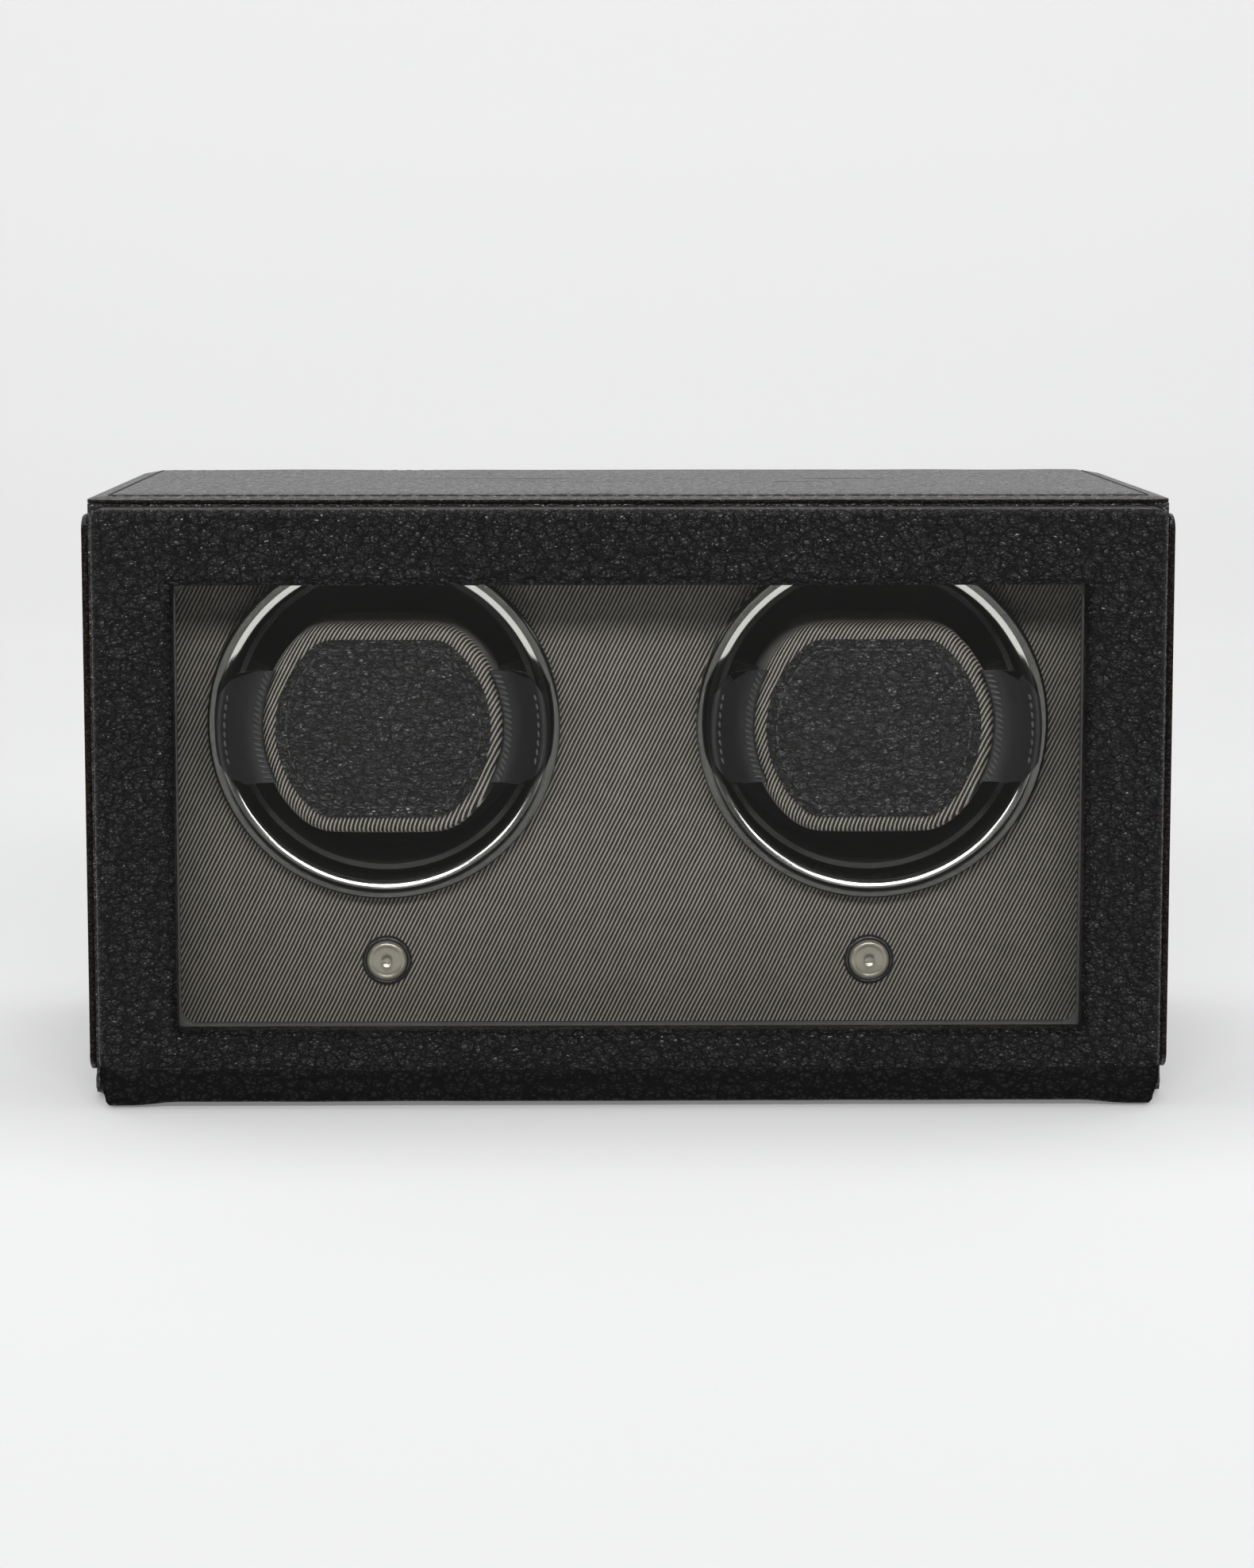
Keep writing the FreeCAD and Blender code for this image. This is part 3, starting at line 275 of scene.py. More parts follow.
def vector_calc(tree, operation, inputs):
    return add(tree, "ShaderNodeVectorMath", inputs, operation=operation).outputs[0]


def position(tree):
    return add(tree, "ShaderNodeTexCoord").outputs["Object"]


def ramp(tree, factor, stops):
    node = add(tree, "ShaderNodeValToRGB", {"Fac": factor})
    elements = node.color_ramp.elements
    while len(elements) < len(stops):
        elements.new(0.5)
    for element, (place, colour) in zip(elements, stops):
        element.position = place
        element.color = (*colour, 1.0)
    return node.outputs["Color"]


def grey(value, warmth=0.0):
    return (value * (1 + warmth), value, value * (1 - warmth))


def noise_node(tree, vector, scale, detail=3.0, roughness=0.55, distortion=0.0):
    return add(tree, "ShaderNodeTexNoise", {"Vector": vector, "Scale": scale, "Detail": detail,
                                            "Roughness": roughness, "Distortion": distortion})


def bump(tree, height, distance):
    inputs = {"Height": height, "Distance": distance, "Strength": 1.0}
    return add(tree, "ShaderNodeBump", inputs).outputs["Normal"]


def plateau(tree, distance, width):
    """Rises smoothly from 0 at a crease to 1 at the given distance from it."""
    node = add(tree, "ShaderNodeMapRange", {"Value": distance, "From Max": width},
               interpolation_type="SMOOTHSTEP")
    return node.outputs[0]


def leather(name, cell, depth, colour, roughness, crease_shade_contrast=0.5, specular=0.4, crease=0.6):
    """Grained leather: raised pebbles, parted by creases that run on from one to the next.

    The size of a pebble (cell) and the relief's depth are in millimetres.
    """
    material, tree, shader = new_material(name)
    cell *= MM
    place = vector_calc(tree, "MULTIPLY", {0: position(tree), 1: (1, 1, 1.45)})
    bend = noise_node(tree, place, 0.55 / cell, 2.0)
    shift = vector_calc(tree, "SUBTRACT", {0: bend.outputs["Color"], 1: (0.5, 0.5, 0.5)})
    shift = vector_calc(tree, "SCALE", {0: shift, "Scale": cell * 1.3})
    bent = vector_calc(tree, "ADD", {0: place, 1: shift})
    pebbles = add(tree, "ShaderNodeTexVoronoi", {"Vector": bent, "Scale": 1 / cell,
                                                 "Smoothness": 0.30}, feature="SMOOTH_F1")
    folds = add(tree, "ShaderNodeTexVoronoi", {"Vector": bent, "Scale": 0.36 / cell},
                feature="DISTANCE_TO_EDGE")
    gaps = add(tree, "ShaderNodeTexVoronoi", {"Vector": bent, "Scale": 1 / cell},
               feature="DISTANCE_TO_EDGE")
    dome = calc(tree, "SUBTRACT", 1.0, calc(tree, "POWER", pebbles.outputs["Distance"], 2.0))
    fold = plateau(tree, folds.outputs["Distance"], 0.16)
    gap = plateau(tree, gaps.outputs["Distance"], 0.26)
    long_way = vector_calc(tree, "MULTIPLY", {0: bent, 1: (1, 1, 1.9)})
    wave = noise_node(tree, long_way, 0.34 / cell, 2.5, 0.6, 0.8)
    ridge = calc(tree, "ABSOLUTE", calc(tree, "SUBTRACT", wave.outputs["Fac"], 0.5))
    wrinkle = plateau(tree, ridge, 0.055)
    height = calc(tree, "MULTIPLY_ADD", fold, crease, dome)
    height = calc(tree, "MULTIPLY_ADD", gap, 0.5, height)
    height = calc(tree, "MULTIPLY_ADD", wrinkle, 1.5 * crease, height)
    tone = noise_node(tree, place, 60.0, 3.0)
    # raised is 1 on the pebble tops and 0 in the creases. With a random tone added, it sets a base
    # colour that is painted darker in the creases and lighter on the tops: painted crease shade.
    raised = calc(tree, "MULTIPLY", gap, fold)
    tone_and_crease_shade = calc(tree, "MULTIPLY_ADD", tone.outputs["Fac"], 0.4,
               calc(tree, "MULTIPLY", raised, 0.6))
    dark = tuple(0.45 * channel for channel in colour)
    light = tuple((1 + crease_shade_contrast) * channel for channel in colour)
    feed(tree, shader, {
        "Base Color": ramp(tree, tone_and_crease_shade, [(0.25, dark), (0.8, light)]),
        "Roughness": calc(tree, "MULTIPLY_ADD", raised, -0.16, roughness + 0.16),
        "Specular IOR Level": calc(tree, "MULTIPLY_ADD", raised, 0.65 * specular, 0.35 * specular),
        "Normal": bump(tree, height, depth * MM)})
    return material


def twill(name, light, dark):
    """Two-tone diagonal twill: light ribs made of twisted floats over dark ones."""
    material, tree, shader = new_material(name)
    pitch, lean = 1.1 * MM, 63.4
    place = position(tree)
    drift = noise_node(tree, place, 90.0, 2.0)
    axes = add(tree, "ShaderNodeSeparateXYZ", {0: place})
    x, y, z = axes.outputs
    c, s = math.cos(math.radians(lean)), math.sin(math.radians(lean))
    up = calc(tree, "ADD", z, y)
    across = calc(tree, "SUBTRACT", calc(tree, "MULTIPLY", x, s), calc(tree, "MULTIPLY", up, c))
    across = calc(tree, "MULTIPLY_ADD", drift.outputs["Fac"], 0.5 * MM, across)
    along = calc(tree, "ADD", calc(tree, "MULTIPLY", x, c), calc(tree, "MULTIPLY", up, s))
    phase = calc(tree, "MULTIPLY", across, 2 * math.pi / pitch)
    rib = calc(tree, "MULTIPLY_ADD", calc(tree, "SINE", phase), 0.5, 0.5)
    twist_phase = calc(tree, "MULTIPLY_ADD", along, 2 * math.pi / (pitch * 0.62),
                       calc(tree, "MULTIPLY", phase, 0.5))
    twist = calc(tree, "MULTIPLY_ADD", calc(tree, "SINE", twist_phase), 0.5, 0.5)
    yarn = noise_node(tree, place, 1500.0, 2.0)
    streak = noise_node(tree, place, 260.0, 3.0)
    value = calc(tree, "MULTIPLY_ADD", twist, 0.16, rib)
    value = calc(tree, "MULTIPLY_ADD", yarn.outputs["Fac"], 0.30, value)
    value = calc(tree, "MULTIPLY_ADD", streak.outputs["Fac"], 0.30, value)
    colour = ramp(tree, calc(tree, "MULTIPLY", value, 0.58), [(0.565, dark), (0.655, light)])
    height = calc(tree, "MULTIPLY_ADD", twist, 0.3, rib)
    feed(tree, shader, {"Base Color": colour, "Normal": bump(tree, height, 0.22 * MM),
                        "Roughness": 0.55, "Sheen Weight": 0.08, "Sheen Roughness": 0.5})
    return material


def grained(name, colour, roughness, scale, depth, spread, metallic=0.0, stretch=(1, 1, 1),
            coat=0.0):
    """A solid with fine colour and surface grain; the relief's depth is in millimetres."""
    material, tree, shader = new_material(name)
    place = vector_calc(tree, "MULTIPLY", {0: position(tree), 1: stretch})
    fine = noise_node(tree, place, scale, 4.0)
    broad = noise_node(tree, place, scale * 0.12, 3.0)
    blend = calc(tree, "MULTIPLY_ADD", fine.outputs["Fac"], 0.5,
                 calc(tree, "MULTIPLY", broad.outputs["Fac"], 0.5))
    dark = tuple(max(0.0, channel * (1 - spread)) for channel in colour)
    light = tuple(min(1.0, channel * (1 + spread)) for channel in colour)
    feed(tree, shader, {
        "Base Color": ramp(tree, blend, [(0.35, dark), (0.65, light)]),
        "Roughness": calc(tree, "MULTIPLY_ADD", fine.outputs["Fac"], 0.12, roughness - 0.06),
        "Normal": bump(tree, fine.outputs["Fac"], depth * MM),
        "Metallic": metallic, "Coat Weight": coat})
    return material


def clear_glass(name):
    """Thin clear glass: light passes straight through, it mirrors only at a slant, and a faint
    painted glow lies over it.
    """
    material, tree, shader = new_material(name)
    tree.nodes.remove(shader)
    slant = add(tree, "ShaderNodeLayerWeight", {"Blend": 0.5}).outputs["Facing"]
    weight = calc(tree, "MULTIPLY", calc(tree, "POWER", slant, 3.5), 0.6)
    smears = noise_node(tree, position(tree), 40.0, 4.0)
    tint = ramp(tree, smears.outputs["Fac"],
                [(0.3, (0.955, 0.965, 0.96)), (0.7, (0.98, 0.985, 0.98))])
    passing = add(tree, "ShaderNodeBsdfTransparent", {"Color": tint})
    mirror = add(tree, "ShaderNodeBsdfGlossy", {"Roughness": 0.02, "Color": (1, 1, 1, 1)})
    both = add(tree, "ShaderNodeMixShader", {"Fac": weight, 1: passing.outputs[0],
                                             2: mirror.outputs[0]})
    # A faint emission over the whole pane: a painted glow that stands in for the haze of light
    # reflected in the glass.
    painted_glow = add(tree, "ShaderNodeEmission", {"Color": (1, 1, 0.97, 1), "Strength": 0.005})
    with_painted_glow = add(tree, "ShaderNodeAddShader", {0: both.outputs[0], 1: painted_glow.outputs[0]})
    out = next(node for node in tree.nodes if node.type == "OUTPUT_MATERIAL")
    tree.links.new(with_painted_glow.outputs[0], out.inputs["Surface"])
    return material


MATERIAL = {
    "door": leather("door_leather_grain", 1.4, 0.34, grey(0.005, 0.02), 0.27, specular=0.62,
                    crease=1.3),
    "panel": leather("panel_leather_grain", 1.5, 0.11, grey(0.014, 0.02), 0.24, specular=1.0),
    "edge": leather("raw_leather_edge", 0.8, 0.12, (0.014, 0.009, 0.007), 0.7, crease_shade_contrast=1.5),
    "strip": leather("hinge_leather_grain", 1.8, 0.02, grey(0.007), 0.42, crease_shade_contrast=0.05,
                     specular=0.16),
    "pad": leather("pad_leather_grain", 1.4, 0.32, grey(0.028, 0.01), 0.28, specular=0.9,
                   crease=1.2),
    "wing": grained("wing_leather_grain", grey(0.003), 0.55, 160, 0.01, 0.15),
    "thread": grained("black_thread", grey(0.006), 0.60, 2200, 0.08, 0.5),
    "pad_thread": grained("pad_thread_twist", grey(0.030), 0.45, 900, 0.05, 0.4),
    "wing_thread": grained("grey_thread", grey(0.060), 0.50, 2200, 0.08, 0.5),
    "twill": twill("fascia_twill", (0.33, 0.288, 0.244), (0.001, 0.001, 0.001)),
    "cuff": twill("cuff_twill", (0.40, 0.355, 0.305), (0.003, 0.0025, 0.002)),
    "lining": grained("napped_lining", grey(0.012), 0.95, 1800, 0.2, 0.5),
    "felt": grained("foot_felt_nap", grey(0.02), 0.98, 1500, 0.2, 0.5),
    "board": grained("fibreboard_core", (0.30, 0.20, 0.12), 0.8, 900, 0.05, 0.3),
    "stained_board": grained("stained_fibreboard", (0.014, 0.010, 0.008), 0.7, 900, 0.05, 0.4),
    "chrome": grained("polished_chrome", (0.74, 0.725, 0.69), 0.15, 60, 0.0003, 0.03,
                      metallic=1.0),
    # A darker copy of the chrome for the rings' outer slopes: a painted dark reflection, not a
    # different finish.
    "chrome_painted_dark": grained("chrome_with_painted_dark_reflection", (0.10, 0.098, 0.092), 0.10, 500, 0.0015, 0.05,
                           metallic=1.0),
    "pearl": grained("pearl_metal", (0.29, 0.265, 0.215), 0.22, 500, 0.0006, 0.03, metallic=0.45,
                     coat=0.5),
    "bezel": grained("gloss_bezel", grey(0.012), 0.16, 400, 0.0006, 0.1),
    "drum": grained("drum_moulding", grey(0.022, 0.03), 0.55, 200, 0.002, 0.1),
    "nylon": grained("moulded_nylon", (0.70, 0.67, 0.60), 0.5, 500, 0.02, 0.06),
    "steel": grained("bright_steel", grey(0.55), 0.28, 600, 0.01, 0.1, metallic=1.0,
                     stretch=(1, 0.1, 1)),
    "bronze": grained("sintered_bronze", (0.50, 0.33, 0.16), 0.42, 1500, 0.03, 0.2, metallic=1.0),
    "motor": grained("motor_can", grey(0.42), 0.35, 700, 0.01, 0.12, metallic=1.0,
                     stretch=(1, 0.08, 1)),
    "circuit": grained("solder_mask", (0.02, 0.12, 0.05), 0.35, 700, 0.02, 0.35, coat=0.4),
    "switch": grained("moulded_black", grey(0.02), 0.5, 900, 0.03, 0.2),
    "rubber": grained("lead_sheath", grey(0.018), 0.6, 900, 0.02, 0.2),
    "magnet": grained("nickel_plate", (0.60, 0.57, 0.50), 0.2, 300, 0.004, 0.06, metallic=1.0),
    "foam": grained("closed_cell_foam", grey(0.06), 0.95, 1100, 0.25, 0.4),
    "bead": grained("glass_bead_plastic", grey(0.09), 0.4, 500, 0.01, 0.1),
    "glass": clear_glass("window_glass_clear"),
}

WORN_BY = {
    "stained_board": ["base_board", "top_board", "left_side_board", "right_side_board",
                      "back_board", "door_frame_board"],
    "board": ["fascia_board", "mechanism_board"],
    "panel": ["front_edge_leather"],
    "lining": ["cavity_lining", "door_back_lining"],
    "felt": ["foot_pads"],
    "twill": ["fascia_fabric"],
    "bronze": ["drum_bearings"],
    "steel": ["motor_screws", "board_screws", "jack_nut"],
    "circuit": ["control_board"],
    "switch": ["board_spacers", "power_jack"],
    "rubber": ["power_lead", "motor_leads"],
    "magnet": ["case_magnets", "door_magnets"],
    "glass": ["glass_pane"],
    "bead": ["glass_retainer"],
}
WORN_ON_EACH_SIDE = {
    "drum": ["drum_cup"], "nylon": ["drum_gear", "motor_pinion"], "motor": ["motor"],
    "steel": ["drum_shaft", "retaining_clip"], "switch": ["switch"], "foam": ["cuff_core"],
}


def dress_cad_nodes():
    """The CAD nodes that stay visible get their procedural materials."""
    wanted = [(node, material) for material, nodes in WORN_BY.items() for node in nodes]
    wanted += [(f"{side}_{node}", material) for material, nodes in WORN_ON_EACH_SIDE.items()
               for node in nodes for side in SIDES]
    for node, material in wanted:
        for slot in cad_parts[node].material_slots:
            slot.material = MATERIAL[material]


# ---------------------------------------------------------------- case leather

def panel_height(distance, seam, puff):
    """Height of a stitched panel above its base, at a distance in from its raw edge."""
    edge = 1.05 * MM * math.sqrt(max(0.0, 1 - (1 - min(1.0, distance / (0.5 * MM))) ** 2) * 0.35
                                 + 0.65)
    roll = -0.10 * MM * ease(distance, seam - 2.6 * MM, seam)
    groove = -0.42 * MM * math.exp(-((distance - seam) / (0.6 * MM)) ** 2)
    swell = puff * (1 - math.exp(-max(0.0, distance - seam) / (4.5 * MM)))
    return edge + roll + groove + swell


def top_leather():
    """The top panel: raw edge, stitched seam, softly padded field."""
    low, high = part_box("top_leather")
    seam = 6.0 * MM
    rise = 1.1 * MM
    puff = 0.55 * MM
    thread_lift = 0.26 * MM
    offsets = [0, 0, 0.15, 0.5, 1.2, 2.2, 3.4, 4.6, 5.2, 5.6, 6.0, 6.4, 6.8, 7.6, 9, 11, 14, 18,
               24, 32, 44, 58, 72]
    base = low[2]
    count = (70, 40)
    loops = []
    for number, offset in enumerate(offsets):
        inset = offset * MM
        loop = rounded_rectangle((low[0] + inset, low[1] + inset),
                                 (high[0] - inset, high[1] - inset),
                                 max(0.4 * MM, 6.5 * MM - inset), count)
        level = base
        if number > 0:
            level += panel_height(inset + 0.2 * MM, seam, puff) + rise * min(1.0, inset / seam)
        loops.append([(x, y, level + (wander((x, y, 0), 0.03, 0.22 * MM) if offset > 7 else 0))
                      for x, y in loop])
    panel = loft("top_leather_panel", loops)
    dress(panel, "panel", "case", ["top_leather"])
    panel.data.materials.append(MATERIAL["edge"])
    edge_top = base + 0.80 * MM
    for face in panel.data.polygons:
        sideways = abs(face.normal.z) < 0.6 and face.center.z < edge_top
        face.material_index = 1 if sideways else 0
    level = base + panel_height(seam, seam, puff) + rise + thread_lift
    line = rounded_rectangle((low[0] + seam, low[1] + seam), (high[0] - seam, high[1] - seam),
                             3.5 * MM, count)
    path = [((x, y, level), (0, 0, 1)) for x, y in line]
    thread = stitches("top_seam_stitches", path, 4.4 * MM, 2.9 * MM, 1.3 * MM, 0.7 * MM)
    dress(thread, "thread", "case")


def band_path(side, front, back, radius, spacing=3.0 * MM):
    """(x, y, outward x, outward y) from the front left edge round the back to the front right."""
    result = []
    straight = int((back - radius - front) / spacing)
    for k in range(straight):
        result.append((-side, front + (back - radius - front) * k / straight, -1.0, 0.0))
    for k in range(9):
        angle = math.radians(180 - 90 * k / 8)
        result.append((-side + radius + radius * math.cos(angle),
                       back - radius + radius * math.sin(angle), math.cos(angle), math.sin(angle)))
    across = int((2 * side - 2 * radius) / (2 * spacing))
    behind = [(-side + radius + (2 * side - 2 * radius) * k / across, back, 0.0, 1.0)
              for k in range(1, across)]
    mirrored = [(-x, y, -nx, ny) for x, y, nx, ny in reversed(result)]
    return result + behind + mirrored


def cut_socket_hole(band):
    """Opens the back leather round the flange of the power socket."""
    low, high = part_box("power_jack")
    (x, z), back = middle(low, high), high[1]
    clearance, reach = 0.15 * MM, 6 * MM
    radius = (high[0] - low[0]) / 2 + clearance
    circle = [(x + px, z + pz) for px, pz in flat_round(radius, 2 * radius, 64)]
    loops = [[(px, y, pz) for px, pz in circle] for y in (back - reach, back + reach)]
    cutter = loft("socket_cutter", loops)
    difference = band.modifiers.new("hole", "BOOLEAN")
    difference.operation = "DIFFERENCE"
    difference.solver = "EXACT"
    difference.object = cutter
    apply_modifiers(band)
    bpy.data.objects.remove(cutter)


def side_band():
    """The padded leather band round the sides and back, with seams near its four edges."""
    low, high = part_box("side_and_back_leather")
    thick, seam, bend = 2.2 * MM, 3.6 * MM, 5.8 * MM
    groove_share, border_share = 0.26, 0.12
    path = band_path(high[0] - thick, low[1], high[1] - thick, bend)
    length = [0.0]
    for a, b in zip(path, path[1:]):
        length.append(length[-1] + math.hypot(b[0] - a[0], b[1] - a[1]))
    total = length[-1]
    height = high[2] - low[2]
    corner = 5.0 * MM
    near_edge = [0, 0.12, 0.5, 1.2, 2.2, 3.0, 3.4, 3.6, 3.8, 4.2, 5.0, 6.5]
    extra = [value * MM for value in near_edge]
    levels = extra + [value * MM for value in (9, 13, 18, 25, 34, 44, 55, 67, 80)]
    rows = levels + [height - value for value in reversed(levels[:-1])]
    places = sorted(set(extra + [total - value for value in extra]
                        + [value for value in length if 7 * MM < value < total - 7 * MM]))

    def spot(along):
        for k in range(len(length) - 1):
            if length[k + 1] >= along - 1e-9:
                t = (along - length[k]) / (length[k + 1] - length[k])
                return [path[k][j] + (path[k + 1][j] - path[k][j]) * t for j in range(4)]
        return list(path[-1])

    def skin(distance):
        edge = 0.72 + 0.28 * math.sqrt(max(0.0, 1 - (1 - min(1.0, distance / (0.9 * MM))) ** 2))
        groove = groove_share * math.exp(-((distance - seam) / (0.6 * MM)) ** 2)
        border = border_share * (1 - ease(distance, seam, seam + 5 * MM))
        return thick * (edge - groove - border)

    outer, inner = [], []
    for along in places:
        x, y, nx, ny = spot(along)
        size = math.hypot(nx, ny)
        nx, ny = nx / size, ny / size
        to_end = min(along, total - along)
        trim = corner - math.sqrt(max(0.0, corner ** 2 - max(0.0, corner - to_end) ** 2))
        column, back_column = [], []
        for row in rows:
            z = low[2] + trim + row * (height - 2 * trim) / height
            distance = min(to_end + trim * 0.5, row + trim * 0.3, height - row + trim * 0.3)
            out = skin(distance)
            out += wander((x, y, z), 0.03, 0.10 * MM) * ease(distance, seam, 9 * MM)
            column.append((x + nx * out, y + ny * out, z))
            back_column.append((x, y, z))
        outer.append(column)
        inner.append(back_column)
    loops = [front + rear[::-1] for front, rear in zip(outer, inner)]
    band = loft("side_leather_band", loops)
    cut_socket_hole(band)
    dress(band, "panel", "case", ["side_and_back_leather"])
    band.data.materials.append(MATERIAL["edge"])
    for face in band.data.polygons:
        outward = abs(face.normal.y) > 0.75 and face.center.y < low[1] + 0.4 * MM
        face.material_index = 1 if outward else 0
    lift = thick * (1 - groove_share - border_share) + 0.12 * MM
    lower, upper = low[2] + seam, high[2] - seam
    run, steps, climb_steps, turn = total - 2 * seam, 240, 40, 3 * MM
    rail = [(seam + run * k / steps, spot(seam + run * k / steps)) for k in range(steps + 1)]

    def along_rail(rail, level, direction):
        """The seam's long runs, which bend a little towards each end."""
        places = []
        for along, (x, y, nx, ny) in rail:
            dip = 1.2 * MM * (1 - ease(min(along, total - along), seam, 6 * MM))
            places.append(((x + nx * lift, y + ny * lift, level + direction * dip), (nx, ny, 0)))
        return places

    def up_end(end, start, climb):
        """The seam's short runs at the two front edges."""
        x, y, nx, ny = end[1]
        return [((x + nx * lift, y, start + climb * k / climb_steps), (nx, ny, 0))
                for k in range(climb_steps + 1)]

    climb = upper - lower - 2 * turn
    route = along_rail(rail, lower, 1)
    route += up_end(rail[-1], lower + turn, climb)
    route += along_rail(rail[::-1], upper, -1)
    route += up_end(rail[0], upper - turn, -climb)
    thread = stitches("side_seam_stitches", route, 4.0 * MM, 3.0 * MM, 0.75 * MM, 0.5 * MM)
    dress(thread, "thread", "case")


def base_edge():
    """The rounded leather edge round the foot of the case, with its flat underside.

    The section is a list of (inset, height) in millimetres.
    """
    low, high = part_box("base_leather")
    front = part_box("side_and_back_leather")[0][1]
    count = (70, 40)
    top, bottom = high[2] / MM, low[2] / MM
    section = [(1.2, 2.0), (0.9, top), (0.35, top - 0.25), (0.05, top - 1.4), (0.0, 3.6),
               (0.1, 2.0), (0.6, bottom + 0.35), (1.6, bottom), (4, bottom), (40, bottom),
               (72, bottom)]
    loops = []
    for inset, level in [(40, 2.0), (4, 2.0)] + section:
        inset *= MM
        loop = rounded_rectangle((low[0] + inset, front + inset),
                                 (high[0] - inset, high[1] - inset),
                                 max(0.5 * MM, 7 * MM - inset), count)
        loops.append([(x, y, level * MM) for x, y in loop])
    piece = loft("base_leather_edge", loops)
    dress(piece, "panel", "case", ["base_leather"])


# ---------------------------------------------------------------- door

def door_skin():
    """The pebbled leather of the door: front, rounded edges, sides and window walls."""
    low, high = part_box("door_leather")
    pane_low, pane_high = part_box("glass_pane")
    overlap = 5.4 * MM
    inner_low = (pane_low[0] + overlap, pane_low[2] + overlap)
    inner_high = (pane_high[0] - overlap, pane_high[2] - overlap)
    front = low[1]
    rim_back = high[1]
    lip_back = pane_low[1] - 0.05 * MM
    edge = 2.0 * MM
    lip = 2.6 * MM
    foot = low[2] - 0.8 * MM
    count = (100, 56)

    def outer(inset, y):
        loop = rounded_rectangle((low[0] + inset, foot + inset * 0.55),
                                 (high[0] - inset, high[2] - inset),
                                 max(0.8 * MM, 3.2 * MM - inset), count)
        return [(x, y, z) for x, z in loop]

    def inner(grow, y):
        loop = rounded_rectangle((inner_low[0] - grow, inner_low[1] - grow),
                                 (inner_high[0] + grow, inner_high[1] + grow),
                                 max(0.7 * MM, 0.7 * MM + grow), count)
        return [(x, y, z) for x, z in loop]

    loops = [outer(1.2 * MM, rim_back), outer(0, rim_back)]
    loops += [outer(0, rim_back + (front + edge - rim_back) * k / 4) for k in range(1, 4)]
    loops += [outer(inset, front + rise) for inset, rise in quarter(edge)]
    flat_start, flat_end = loops[-1], inner(lip, front)
    steps = 9
    for k in range(1, steps):
        t = k / steps
        loops.append([tuple(a + (b - a) * t for a, b in zip(p, q))
                      for p, q in zip(flat_start, flat_end)])
    loops += [inner(grow, front + fall) for fall, grow in quarter(lip)]
    loops += [inner(0, lip_back), inner(1.2 * MM, lip_back)]
    loops += [inner(1.2 * MM, front + 4 * MM), inner(1.2 * MM, front + 1.6 * MM),
              outer(3.0 * MM, front + 1.6 * MM), outer(1.2 * MM, front + 4 * MM)]

    def soften(point):
        x, y, z = point
        if y > front + 1.5 * MM:
            return point
        swell = wander((x, 0, z), 0.012, 0.14 * MM) + wander((x, 0, z), 0.004, 0.07 * MM)
        return (x, y + swell, z)

    loops = [[soften(point) for point in loop] for loop in loops]
    skin = loft("door_leather_skin", loops, closed=True)
    dress(skin, "door", "door", ["door_leather"])


def hinge_sheet():
    """One smooth leather sheet from under the case, round the hinge line, up the door's foot."""
    low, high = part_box("hinge_leather")
    flap_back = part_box("side_and_back_leather")[0][1] + 14 * MM
    side = high[0]
    # (y in metres, z in millimetres), from the flap under the case to the door's foot
    path = [(flap_back, 0.7), (-0.0800, 0.75), (-0.0850, 0.8), (-0.0876, 0.95), (-0.0889, 1.5),
            (-0.0896, 2.5), (-0.0899, 4.0), (-0.0900, 6.0), (-0.0900, 8.0), (-0.0901, 9.6),
            (-0.0901, 10.8), (-0.08995, 11.8), (-0.0892, 12.3)]
    route = smooth_path([(y, z * MM) for y, z in path], 5)
    thick = 0.9 * MM
    columns = 90
    outer, inner = [], []
    for k, point in enumerate(route):
        before, after = route[max(0, k - 1)], route[min(len(route) - 1, k + 1)]
        run = (after - before).normalized()
        normal = Vector((-run.y, run.x))
        if normal.x > 0 and point.y > 2 * MM:
            normal = -normal
        if point.y <= 2 * MM and normal.y > 0:
            normal = -normal
        z = point.y
        reach = side - 0.1 * MM - 1.5 * MM * (1 - ease(z, 2.3 * MM, 9.2 * MM))
        reach -= 0.9 * MM * (1 - ease(z, 0.9 * MM, 2.6 * MM))
        row_out, row_in = [], []
        for j in range(columns + 1):
            x = -reach + 2 * reach * j / columns
            sag = 0.0
            if z < 3 * MM:
                drop = ease(abs(x), 0.128, 0.142)
                sag = 0.75 * MM * (1 - drop) - 0.25 * MM * drop
                sag *= 1 - ease(z, 1.0 * MM, 3.0 * MM)
            ripple = wander((x, point.x, z), 0.02, 0.10 * MM)
            base = Vector((x, point.x, z + sag))
            out = Vector((0, normal.x, normal.y)) * ripple
            row_out.append(base + out)
            row_in.append(base + out - Vector((0, normal.x, normal.y)) * thick)
        outer.append(row_out)
        inner.append(row_in)
    loops = [front_row + back_row[::-1] for front_row, back_row in zip(outer, inner)]
    sheet = loft("hinge_leather_sheet", loops)
    dress(sheet, "strip", None, ["hinge_leather"])
    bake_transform(sheet)


# ---------------------------------------------------------------- rings, buttons

